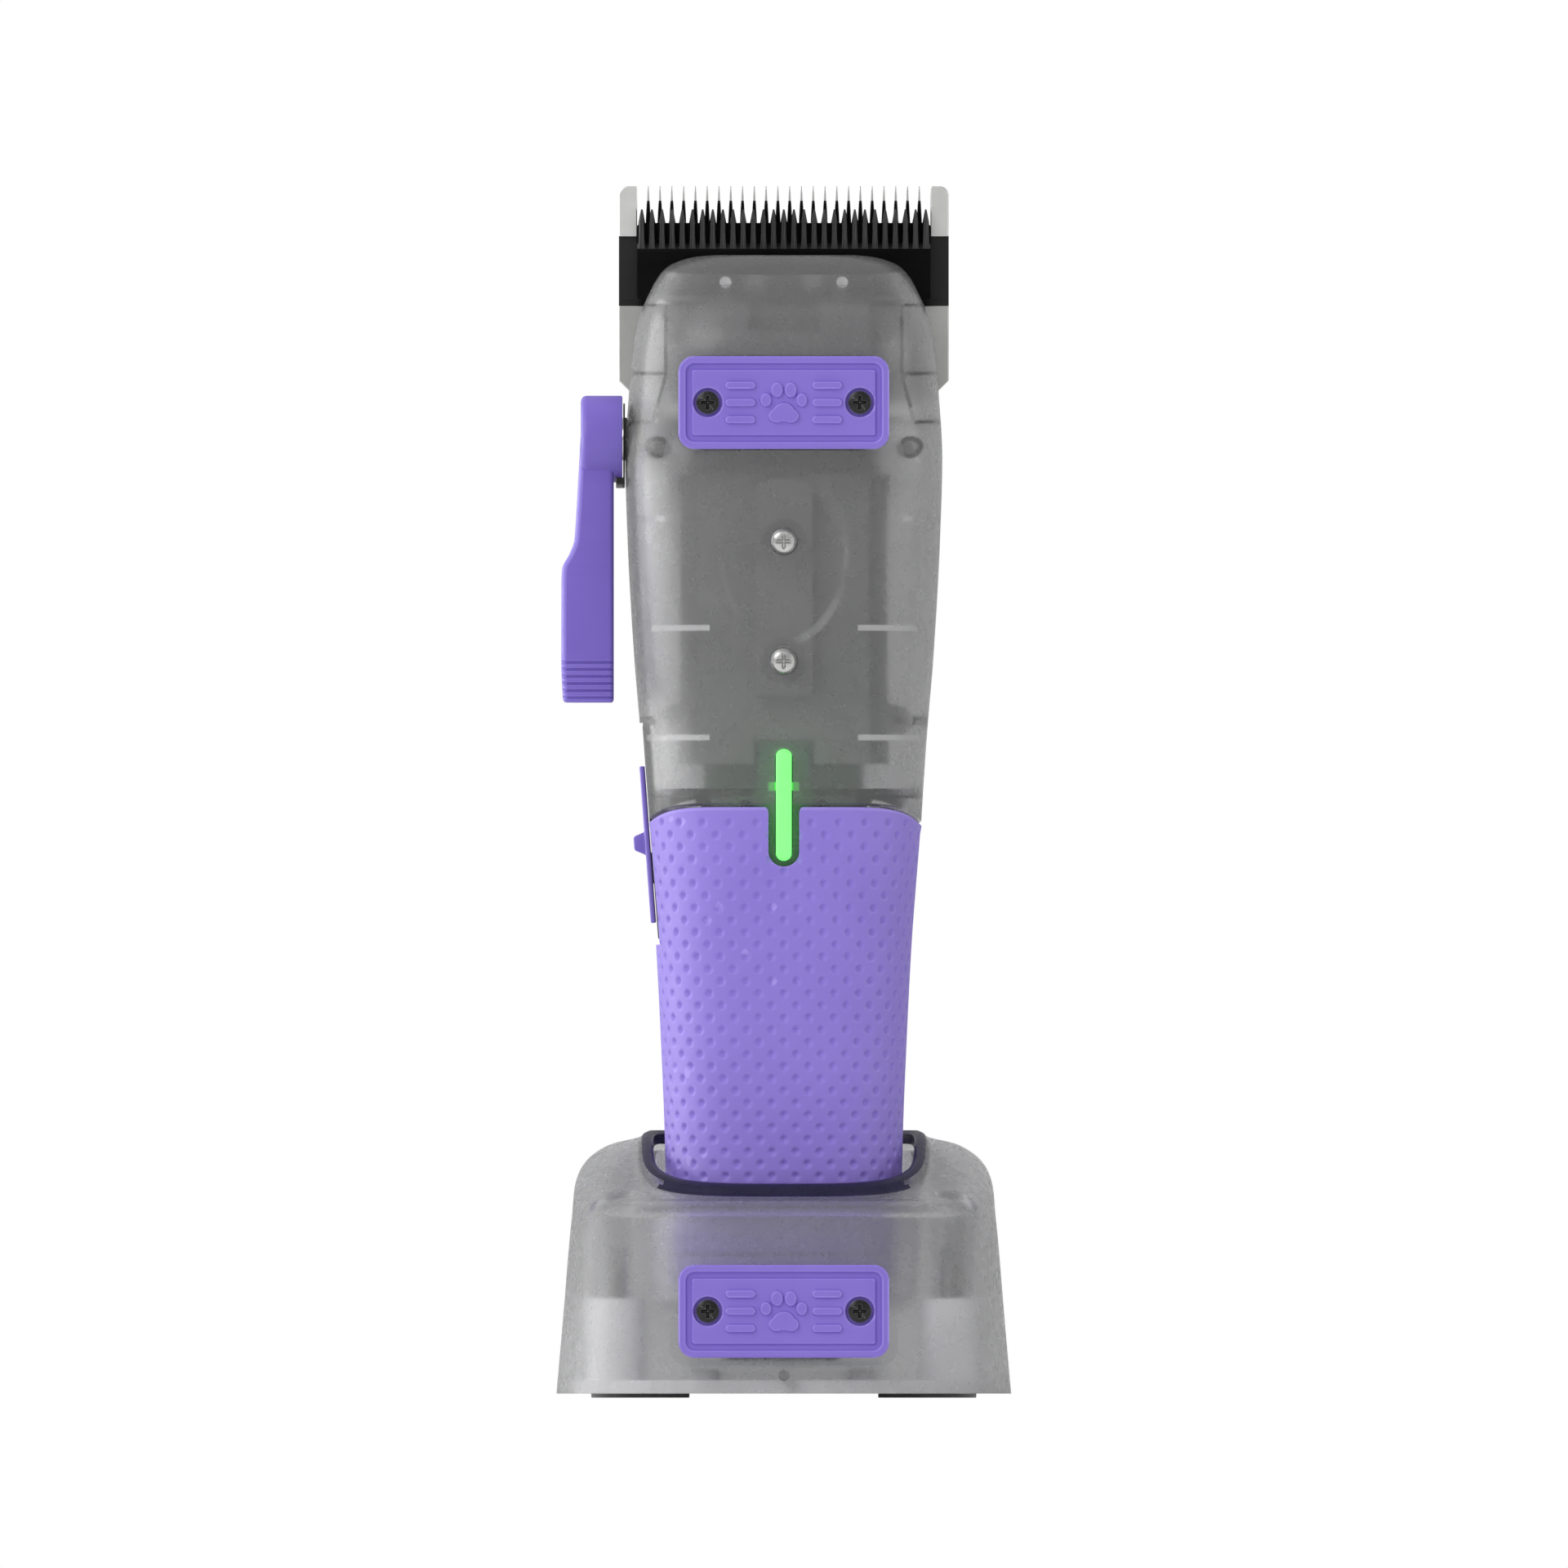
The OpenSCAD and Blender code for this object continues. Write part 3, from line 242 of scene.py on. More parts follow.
def new_object(name, verts, faces, mat=None, smooth=True):
    me = bpy.data.meshes.new(name)
    me.from_pydata([tuple(v) for v in np.asarray(verts, float) * MM], [], faces)
    me.validate()
    bm = bmesh.new()
    bm.from_mesh(me)
    bmesh.ops.remove_doubles(bm, verts=bm.verts, dist=1e-7)
    bmesh.ops.recalc_face_normals(bm, faces=bm.faces)
    bm.to_mesh(me)
    bm.free()
    o = bpy.data.objects.new(name, me)
    bpy.context.scene.collection.objects.link(o)
    if mat:
        me.materials.append(mat)
    me.polygons.foreach_set("use_smooth", [smooth] * len(me.polygons))
    return o


def apply_all(o):
    """Keep the object with its modifiers worked into its mesh."""
    dg = bpy.context.evaluated_depsgraph_get()
    me = bpy.data.meshes.new_from_object(o.evaluated_get(dg))
    o.modifiers.clear()
    old = o.data
    o.data = me
    bpy.data.meshes.remove(old)
    return o


def combine(o, others, how):
    """One exact boolean of o with others, which are then removed."""
    for other in others:
        m = o.modifiers.new("b", "BOOLEAN")
        m.operation = how
        m.solver = "EXACT"
        m.object = other
        apply_all(o)
        me = other.data
        bpy.data.objects.remove(other)
        bpy.data.meshes.remove(me)
    return o


def soften(o, angle=32, width=None, segments=2):
    if width:
        b = o.modifiers.new("bevel", "BEVEL")
        b.width = width * MM
        b.segments = segments
        b.limit_method = "ANGLE"
        b.angle_limit = math.radians(30)
        b.harden_normals = False
        apply_all(o)
    o.data.polygons.foreach_set("use_smooth", [True] * len(o.data.polygons))
    o.data.set_sharp_from_angle(angle=math.radians(angle))
    return o


def join(parts, name):
    """Several objects as one, keeping their meshes apart inside it."""
    verts, faces, base = [], [], 0
    mats = list(parts[0].data.materials)
    for p in parts:
        me = p.data
        verts += [tuple(p.matrix_world @ v.co) for v in me.vertices]
        faces += [tuple(base + i for i in f.vertices) for f in me.polygons]
        base = len(verts)
        bpy.data.objects.remove(p)
    me = bpy.data.meshes.new(name)
    me.from_pydata(verts, [], faces)
    o = bpy.data.objects.new(name, me)
    bpy.context.scene.collection.objects.link(o)
    for m in mats:
        me.materials.append(m)
    me.polygons.foreach_set("use_smooth", [True] * len(me.polygons))
    return o


def place(o, node, extra=()):
    """Put the piece in a CAD node's place: same body, same slot."""
    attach(o, body_of[node])
    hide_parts(node, *extra)
    if not o.data.materials:
        o.data.materials.append(FINISH[slots[node]])
    return o


def grids(name, outer, inner, closed, mat=None):
    """Closed solid between two grids of points with the same columns; their rows may differ."""
    outer, inner = np.asarray(outer), np.asarray(inner)
    ro, c, _ = outer.shape
    ri = inner.shape[0]
    verts = np.concatenate([outer.reshape(-1, 3), inner.reshape(-1, 3)])
    base = ro * c
    faces = []
    cols = range(c if closed else c - 1)
    for r in range(ro - 1):
        for k in cols:
            d = (k + 1) % c
            faces.append((r * c + k, r * c + d, (r + 1) * c + d, (r + 1) * c + k))
    for r in range(ri - 1):
        for k in cols:
            d = (k + 1) % c
            faces.append((base + r * c + k, base + (r + 1) * c + k, base + (r + 1) * c + d, base + r * c + d))
    for k in cols:
        d = (k + 1) % c
        faces.append((k, base + k, base + d, d))
        t, u = (ro - 1) * c, base + (ri - 1) * c
        faces.append((t + k, t + d, u + d, u + k))
    if not closed:
        for k in (0, c - 1):
            n = max(ro, ri)
            a = [min(ro - 1, i) * c + k for i in range(n)]
            b = [base + min(ri - 1, i) * c + k for i in range(n)]
            for i in range(n - 1):
                f = [a[i], a[i + 1], b[i + 1], b[i]]
                faces.append(tuple(dict.fromkeys(f)))
    return new_object(name, verts, faces, mat)


def stack(name, loops, mat=None, smooth=True):
    """Solid through a list of closed loops of equally many points, with flat ends."""
    loops = np.asarray(loops, float)
    r, c, _ = loops.shape
    faces = [(i * c + k, i * c + (k + 1) % c, (i + 1) * c + (k + 1) % c, (i + 1) * c + k)
             for i in range(r - 1) for k in range(c)]
    faces.append(tuple(range(c))[::-1])
    faces.append(tuple((r - 1) * c + k for k in range(c)))
    return new_object(name, loops.reshape(-1, 3), faces, mat, smooth)


def lathe(name, profile, axis, centre, steps=64, mat=None):
    """Solid turned round an axis ("x", "y" or "z"): profile is a list of (along, radius) from end to end."""
    a = np.linspace(0, 2 * np.pi, steps, endpoint=False)
    loops = []
    for along, r in profile:
        r = max(r, 1e-3)
        u, v, w = np.full(steps, along), r * np.cos(a), r * np.sin(a)
        order = {"x": (u, v, w), "y": (w, u, v), "z": (v, w, u)}[axis]
        loops.append(np.stack(order, 1))
    return stack(name, np.array(loops) + np.array(centre), mat)


def box_object(name, lo, hi, mat=None):
    x, y, z = zip(lo, hi)
    loops = [[(x[0], y[0], k), (x[1], y[0], k), (x[1], y[1], k), (x[0], y[1], k)] for k in z]
    return stack(name, loops, mat, False)


def prism(name, outline, y0, y1, mat=None):
    """Outline in X and Z pushed through from y0 to y1."""
    loops = [[(x, y, z) for x, z in outline] for y in (y0, y1)]
    return stack(name, loops, mat, False)


def pill(name, r, half, y0, y1, x, z, steps=24, mat=None):
    """Upright slot shape of radius r whose end centres are half above and below z."""
    a = np.linspace(0, np.pi, steps)
    pts = [(x + r * math.cos(t), z + half + r * math.sin(t)) for t in a]
    pts += [(x - r * math.cos(t), z - half - r * math.sin(t)) for t in a]
    return prism(name, pts, y0, y1, mat)


def pchip(points):
    """Smooth curve through points that never overshoots."""
    x, y = np.array(points, float).T
    h, d = np.diff(x), np.diff(y) / np.diff(x)
    m = np.zeros(len(x))
    m[0], m[-1] = d[0], d[-1]
    for i in range(1, len(x) - 1):
        if d[i - 1] * d[i] > 0:
            w1, w2 = 2 * h[i] + h[i - 1], h[i] + 2 * h[i - 1]
            m[i] = (w1 + w2) / (w1 / d[i - 1] + w2 / d[i])

    def f(q):
        q = np.clip(np.asarray(q, float), x[0], x[-1])
        k = np.clip(np.searchsorted(x, q) - 1, 0, len(h) - 1)
        t = (q - x[k]) / h[k]
        return ((1 + 2 * t) * (1 - t) ** 2 * y[k] + t * (1 - t) ** 2 * h[k] * m[k]
                + t * t * (3 - 2 * t) * y[k + 1] + t * t * (t - 1) * h[k] * m[k + 1])

    return f


def step(x, lo, hi):
    t = np.clip((np.asarray(x, float) - lo) / (hi - lo), 0, 1)
    return t * t * (3 - 2 * t)


# ---------------------------------------------------------------- housing outline, as in the CAD

HALF = pchip([(13.9, 15.4), (20, 16.2), (38, 16.65), (49, 17.1), (62.8, 17.8), (79.2, 19.05), (92.9, 20),
              (103.8, 20.9), (120, 21.8), (131, 22.1), (140, 21.6), (146, 21.07), (150, 20.35), (154, 18.75),
              (157.7, 16.2), (158.6, 14.2), (159.1, 12.1), (159.3, 9.8)])
FRONT = pchip([(13.9, 13.4), (20, 14.3), (38, 15.5), (60, 17), (82, 18.5), (104, 19.8), (131, 21),
               (146, 20.6), (150, 19.2), (154, 15.5), (157.7, 10), (158.6, 7.9), (159.1, 6.5), (159.3, 5.2)])
BACK = pchip([(13.9, 13.4), (20, 14.3), (38, 15.5), (60, 16.5), (82, 17.5), (104, 18.2), (120, 18.4),
              (128, 17), (135.6, 13.4)])


def split(z):
    return np.interp(z, [131, 137, 152.3, 153], [0, 6.5, 6.5, 3.8])


def resample(pts, count, closed):
    """Points spread evenly along a line."""
    p = np.vstack([pts, pts[:1]]) if closed else pts
    s = np.concatenate([[0], np.cumsum(np.linalg.norm(np.diff(p, axis=0), axis=1))])
    q = np.linspace(0, s[-1], count + 1 if closed else count)
    if closed:
        q = q[:-1]
    return np.stack([np.interp(q, s, p[:, i]) for i in range(p.shape[1])], 1)


def squircle(w, d, a, n):
    c, s = np.cos(a), np.sin(a)
    return np.stack([w * np.sign(c) * np.abs(c) ** (2 / n), d * np.sign(s) * np.abs(s) ** (2 / n)], 1)


def seam(x, w):
    """Height of the grip's top edge at a place across the housing."""
    return 82.4 - 2.5 * np.clip(np.abs(x) / w, 0, 1) ** 8.4


def half_row(side, z, inset, cols, reach=None, lift=0.0, by_seam=False):
    w = float(HALF(z)) - inset
    start = float(split(z)) + 0.1 * side
    full = float((FRONT if side < 0 else BACK)(z)) - inset
    depth = (full if reach is None else reach) - side * start
    n = 2.8 if side > 0 else float(np.interp(z, [95, 128], [2.8, 3.6]))
    a = np.linspace(math.pi if side < 0 else 0, 2 * math.pi if side < 0 else math.pi, 900)
    p = resample(squircle(w, depth, a, n), cols, False)
    zz = seam(p[:, 0], w) + lift if by_seam else np.full(cols, z + lift)
    return np.column_stack([p[:, 0], start + p[:, 1], zz])


def ring_row(z, inset, cols, lift=0.0, by_seam=False):
    w, f, b = (float(c(z)) - inset for c in (HALF, FRONT, BACK))
    a = np.linspace(-math.pi / 2, 1.5 * math.pi, 1800, endpoint=False)
    p = np.where((a > 0)[:, None] & (a < math.pi)[:, None], squircle(w, b, a, 2.8), squircle(w, f, a, 2.8))
    p = resample(p, cols, True)
    zz = seam(p[:, 0], w) + lift if by_seam else np.full(cols, z + lift)
    return np.column_stack([p[:, 0], p[:, 1], zz])


# ---------------------------------------------------------------- housing halves

SLIDE_TILT = math.radians(4.2)
slide_z = 77.15
slide_x = 0.4 - float(np.interp(slide_z, [62.8, 79.2], [17.8, 19.05]))


def on_slide(o):
    """Tilt a piece made round the origin onto the power slider's place."""
    at = Matrix.Translation(Vector((slide_x, 0, slide_z)) * MM)
    o.data.transform(at @ Matrix.Rotation(-SLIDE_TILT, 4, "Y"))
    return o


def tilt_about(o, angle, x, y, z):
    """Tilt a piece about a line along X through a point."""
    at = Vector((x, y, z)) * MM
    o.data.transform(Matrix.Translation(at) @ Matrix.Rotation(angle, 4, "X") @ Matrix.Translation(-at))
    return o


LIGHT_TILT = math.radians(3.6)


def light_hole(r, y0, y1):
    return tilt_about(pill("hole", r, 6.6, y0, y1, 0, 82.55), LIGHT_TILT, 0, -18.7, 82.55)


def slide_holes():
    return [on_slide(box_object("hole", (-3, -6.9, -14), (0.55, 6.9, 17))),
            on_slide(box_object("hole", (-1, -1.9, -6.2), (8, 1.9, 6.2)))]


def rounded_rect(w, h, r, steps=8):
    pts = []
    for cx, cz, a0 in ((w / 2 - r, h / 2 - r, 0), (-w / 2 + r, h / 2 - r, 90), (-w / 2 + r, -h / 2 + r, 180),
                       (w / 2 - r, -h / 2 + r, 270)):
        for t in np.linspace(a0, a0 + 90, steps):
            pts.append((cx + r * math.cos(math.radians(t)), cz + r * math.sin(math.radians(t))))
    return pts


def dish(p):
    """Press the thumb dish into a row of the front shell's outer face."""
    x, z = p[:, 0], p[:, 2]
    wide = 9.45 * (1 + 0.06 * (z - 117) / 12.7)
    r = np.sqrt((x / wide) ** 2 + ((z - 117) / 12.7) ** 2)
    out = p.copy()
    out[:, 1] += 1.0 * step(1 - r, 0, 0.16) * (0.75 + 0.25 * np.clip((z - 104) / 25, 0, 1))
    return out


# Ribs round the front shell's corners: height, half thickness, inner edge, gap from the middle line
ARCS = ((92.1, 0.4, 2.4, 10.2), (107.4, 0.4, 2.4, 10.2), (122.6, 0.4, 2.4, 10.2), (83.95, 0.2, 3.2, 11.5),
        (151.9, 0.25, 5, 16), (142.7, 0.25, 5, 16), (135.8, 0.25, 5, 17.4))


# Pegs inside the front shell, as seen from the front: place across, height, radius
PEGS = ((16.9, 132.4, 1.6), (10.9, 82.7, 1.25), (5.2, 82.3, 1.25))


def fold(z):
    """Distance from the middle line to the upright rib beside the badge."""
    return 15.7 + 0.24 * max(0, 142.6 - z)


def face_y(x, z):
    """How far forward the front shell's outer face is, at a place on it."""
    start = float(split(z))
    n = float(np.interp(z, [95, 128], [2.8, 3.6]))
    return start - (float(FRONT(z)) + start) * (1 - min(1, x / float(HALF(z))) ** n) ** (1 / n)


def skirt(side, cols):
    """Outer rows of a half's foot, which goes down inside the grip, up to its step on the grip's edge."""
    rows = [half_row(side, 71, 2, cols)]
    step_rows = ((2, 0.2), (0.35, 0.21), (0, 0.5))
    rows += [half_row(side, 81, inset, cols, lift=up, by_seam=True) for inset, up in step_rows]
    return rows


def front_shell():
    c = 150
    zs = np.concatenate([np.linspace(85, 103, 14), np.arange(103.6, 130.6, 0.45), np.linspace(131, 149, 22),
                         np.linspace(149.6, 157.7, 22)])
    outer = skirt(-1, c)
    outer += [dish(half_row(-1, z, 0, c)) for z in zs]
    outer += [half_row(-1, z, 0, c) for z in (158.1, 158.5, 158.75, 158.95, 159.1, 159.2, 159.27, 159.3)]
    inner = [half_row(-1, 71, 3.6, c), half_row(-1, 81, 3.6, c, lift=1.4, by_seam=True)]
    thick = [(z, 1.8 + 1.2 * float(step(z, 116, 130) * (1 - step(z, 146, 155)))) for z in zs if z < 157]
    inner += [half_row(-1, z, 1.8, c, float(FRONT(z)) - t) for z, t in thick]
    inner += [half_row(-1, 157.4, 2.2, c)]
    inner += [half_row(-1, z, i, c, -3.3) for z, i in ((157.7, 2.4), (159.3, 1.8))]
    o = grids("front_shell_frosted", outer, inner, False)
    ribs = []
    for z, t, deep, start in ARCS:
        arc = [half_row(-1, z, i, c, lift=d) for i in (1, deep) for d in (-t, t)]
        rib = grids("rib", arc[:2], arc[2:], False)
        ribs.append(combine(rib, [box_object("hole", (-start, -30, z - 1), (start, 5, z + 1))], "DIFFERENCE"))
    for s in (-1, 1):
        loops = []
        for z in np.linspace(136, 152, 17):
            x, y = s * fold(z), face_y(fold(z), z) + 1.2
            loops.append([(x - 0.2, y, z), (x + 0.2, y, z), (x + 0.2, y + 3.6, z), (x - 0.2, y + 3.6, z)])
        ribs.append(stack("rib", loops))
    for z in (119.4, 102.7):
        ribs.append(lathe("seat", [(-18.7, 3.2), (-16.7, 3.2)], "y", (0, 0, z), 40))
    for s in (-1, 1):
        ribs.append(lathe("boss", [(-9.6, 2.3), (-0.4, 2.3)], "y", (s * 14.9, 0, 94.5), 32))
        inside, outside = sorted((s * 15, s * 18.8))
        ribs.append(box_object("web", (inside, -9.6, 93.9), (outside, -0.4, 95.1)))
        ribs.append(lathe("peg", [(-15.2, 1.5), (-11, 1.5)], "y", (s * 16.9, 0, 132.4), 32))
        ribs.append(lathe("peg", [(-15.1, 1.15), (-12, 1.15)], "y", (s * 10.9, 0, 82.7), 24))
        ribs.append(lathe("peg", [(-16.2, 1.15), (-12.6, 1.15)], "y", (s * 5.2, 0, 82.3), 24))
        ribs.append(lathe("post", [(-12.3, 0.8), (-9.8, 0.8)], "y", (s * 8.1, 0, 155.1), 24))
    combine(o, ribs, "UNION")
    cuts = [prism("hole", [(x, z + 138.75) for x, z in rounded_rect(29.8, 13.35, 2.4)], -24, -19.25)]
    cuts += [lathe("hole", [(-14.6, 0.95), (-10, 0.95)], "y", (s * 16.9, 0, 132.4), 24) for s in (-1, 1)]
    cuts.append(lathe("hole", [(-25, 3.06), (-17, 3.06)], "x", (0, -4, 133.65), 40))
    for z in (119.4, 102.7):
        seat = [(-22, 1.95), (-18.15, 1.95), (-18.14, 1.15), (-14, 1.15)]
        cuts.append(lathe("hole", seat, "y", (0, 0, z), 40))
    cuts.append(light_hole(1.25, -22, -12))
    lug_slot = box_object("hole", (-2.4, -16.9, 84.25), (2.4, -10.7, 85.95))
    cuts.append(tilt_about(lug_slot, LIGHT_TILT, 0, -18.7, 82.55))
    cuts += slide_holes()
    combine(o, cuts, "DIFFERENCE")
    soften(o, 35)
    place(o, "front_shell")
    # Painted light and shade: the thick ribs and a post glow as painted light; the fine ribs, the upright
    # ribs, the pegs and the inside of the nose are painted shade
    for m in (RIB_PAINTED_GLOW, RIB_PAINTED_SHADE, NOSE_PAINTED_SHADE):
        o.data.materials.append(m)
    for f in o.data.polygons:
        x, y, z = f.center / MM
        x = abs(x)
        start = float(split(z))
        n = float(np.interp(z, [95, 128], [2.8, 3.6]))

        def within(inset, front):
            w, d = float(HALF(z)) - inset, float(FRONT(z)) - front + start
            return (x / w) ** n + (max(start - y, 0) / d) ** n

        if z > 156.3:
            if within(1.2, 1.2) < 1 and f.normal.z < 0.7:
                # Painted shade inside the nose
                f.material_index = 3
            continue
        if within(2.1, 2.1 + 1.2 * float(step(z, 116, 130))) > 1:
            continue
        painted_glow_rib = 10 < x < 17.3 and any(abs(z - a[0]) < a[1] + 0.02 for a in ARCS[:3])
        fine_rib = any(abs(z - a[0]) < a[1] + 0.02 and x > a[3] for a in ARCS[3:])
        upright = 135.8 < z < 152.1 and abs(x - fold(z)) < 0.35
        if painted_glow_rib or math.hypot(x - 8.1, z - 155.1) < 0.9:
            # Painted glow on the thick ribs and the post
            f.material_index = 1
        elif fine_rib or upright or any(math.hypot(x - a, z - b) < r for a, b, r in PEGS):
            # Painted shade on the fine ribs, the upright ribs and the pegs
            f.material_index = 2


def rear_shell():
    c = 130
    zs = np.concatenate([np.linspace(85, 118, 18), np.linspace(119, 131, 16)])
    outer = skirt(1, c)
    outer += [half_row(1, z, 0, c) for z in zs]
    top_edge = ((132.2, 0), (133.2, 0), (134.2, 0.08), (134.8, 0.22), (135.3, 0.5), (135.6, 0.95))
    outer += [half_row(1, z, i, c) for z, i in top_edge]
    inner = [half_row(1, 71, 3.6, c), half_row(1, 81, 3.6, c, lift=1.4, by_seam=True)]
    inner += [half_row(1, z, 1.8, c) for z in zs]
    inner += [half_row(1, 132.6, 1.9, c), half_row(1, 132.9, 2, c, 7.6), half_row(1, 135.6, 2, c, 7.6)]
    o = grids("rear_shell_frosted", outer, inner, False)
    bosses = [lathe("boss", [(0.3, 2.3), (10.7, 2.3)], "y", (s * 14.9, 0, 94.5), 32) for s in (-1, 1)]
    combine(o, bosses, "UNION")
    cuts = [lathe("hole", [(0, 1.15), (9.2, 1.15), (9.21, 2.1), (20, 2.1)], "y", (s * 14.9, 0, 94.5), 40)
            for s in (-1, 1)]
    combine(o, cuts + slide_holes(), "DIFFERENCE")
    soften(o, 35)
    return place(o, "rear_shell")


# ---------------------------------------------------------------- grip


def grip():
    c, count, pitch = 448, 32, 1.7
    zs = np.concatenate([[20, 20.15, 20.4, 20.8], np.arange(21.1, 78.6, 0.26)])
    rows = [ring_row(z, 0.35 if z == 20 else 0.12 if z == 20.15 else 0, c) for z in zs]
    # The last rows run up to the curved top edge.
    last = rows[-1][:, 2][0]
    top = ring_row(81, 0, c, lift=-0.1, by_seam=True)
    for t in np.linspace(0, 1, 15)[1:]:
        r = ring_row(last + t * 3.3, 0.0 if t < 0.95 else 0.12, c)
        r[:, 2] = last + t * (top[:, 2] - last)
        rows.append(r)
    lip = rows[-1].copy()
    lip[:, :2] *= 0.985
    lip[:, 2] += 0.06
    rows.append(lip)
    outer = np.array(rows)
    around = np.arange(c) / c
    for r in range(4, len(rows) - 3):
        z = outer[r, :, 2]
        length = np.linalg.norm(np.diff(np.vstack([outer[r, :, :2], outer[r, :1, :2]]), axis=0), axis=1).sum()
        k0 = np.round((z - 22.4) / pitch)
        dent = np.zeros(c)
        for k in (k0 - 1, k0, k0 + 1):
            u = around * count + 0.5 * np.mod(k, 2)
            ds = (u - np.round(u)) * length / count
            dz = z - 22.4 - k * pitch
            d = np.sqrt(ds**2 + dz**2)
            edge = np.minimum(seam(outer[r, :, 0], float(HALF(81))) - 1.0 - (22.4 + k * pitch), 1)
            dent = np.maximum(dent, np.clip(1 - (d / 0.62) ** 2, 0, 1) ** 1.3 * (edge > 0))
        n = outer[r, :, :2] / np.linalg.norm(outer[r, :, :2], axis=1)[:, None]
        outer[r, :, :2] -= 0.42 * dent[:, None] * n
    inner = [ring_row(z, 1.8, c) for z in (20, 38, 62.8, 74)]
    inner.append(ring_row(81, 1.8, c, lift=-0.1, by_seam=True))
    o = grids("grip_dimpled", outer, inner, True)
    a = np.linspace(math.pi, 2 * math.pi, 24)
    notch = [(2.15 * math.cos(t), 76.2 + 2.15 * math.sin(t)) for t in a]
    notch += [(2.15, 81.6), (2.25, 82), (2.45, 82.25), (2.8, 82.45), (3, 90), (-3, 90), (-2.8, 82.45),
              (-2.45, 82.25), (-2.25, 82), (-2.15, 81.6)]
    combine(o, [prism("hole", notch, -21, -13)] + slide_holes(), "DIFFERENCE")
    soften(o, 58)
    return place(o, "grip_sleeve")


def light_bar():
    r, half = 1.1, 6.6
    loops = []
    for y, k in ((-14.5, 1.0), (-18.6, 1.0), (-18.85, 0.97), (-18.98, 0.88), (-19.05, 0.7)):
        a = np.linspace(0, np.pi, 20)
        up = np.stack([r * k * np.cos(a), np.full(20, y), 82.55 + half + r * k * np.sin(a)], 1)
        dn = np.stack([-r * k * np.cos(a), np.full(20, y), 82.55 - half - r * k * np.sin(a)], 1)
        loops.append(np.vstack([up, dn]))
    o = stack("light_bar", loops, LIGHT)
    combine(o, [box_object("lug", (-2.1, -16.7, 84.55), (2.1, -15.5, 85.65))], "UNION")
    tilt_about(o, LIGHT_TILT, 0, -18.7, 82.55)
    soften(o, 60)
    place(o, "light_pipe")
    # The sides throw light on the slot; the lugs are dimmer
    for m in (LIGHT_SIDE, LIGHT_LUG):
        o.data.materials.append(m)
    for f in o.data.polygons:
        c = f.center / MM
        if abs(c.x) > 1.12 and 84 < c.z < 86.5:
            f.material_index = 2
        elif c.y > -18.3 and abs(f.normal.y) < 0.5:
            f.material_index = 1


# ---------------------------------------------------------------- badges


def sd_rect(x, z, w, h, r):
    qx, qz = np.abs(x) - w / 2 + r, np.abs(z) - h / 2 + r
    return np.hypot(np.maximum(qx, 0), np.maximum(qz, 0)) + np.minimum(np.maximum(qx, qz), 0) - r


def sd_disc(x, z, cx, cz, r, k=1.0):
    return np.hypot(x - cx, (z - cz) / k) - r


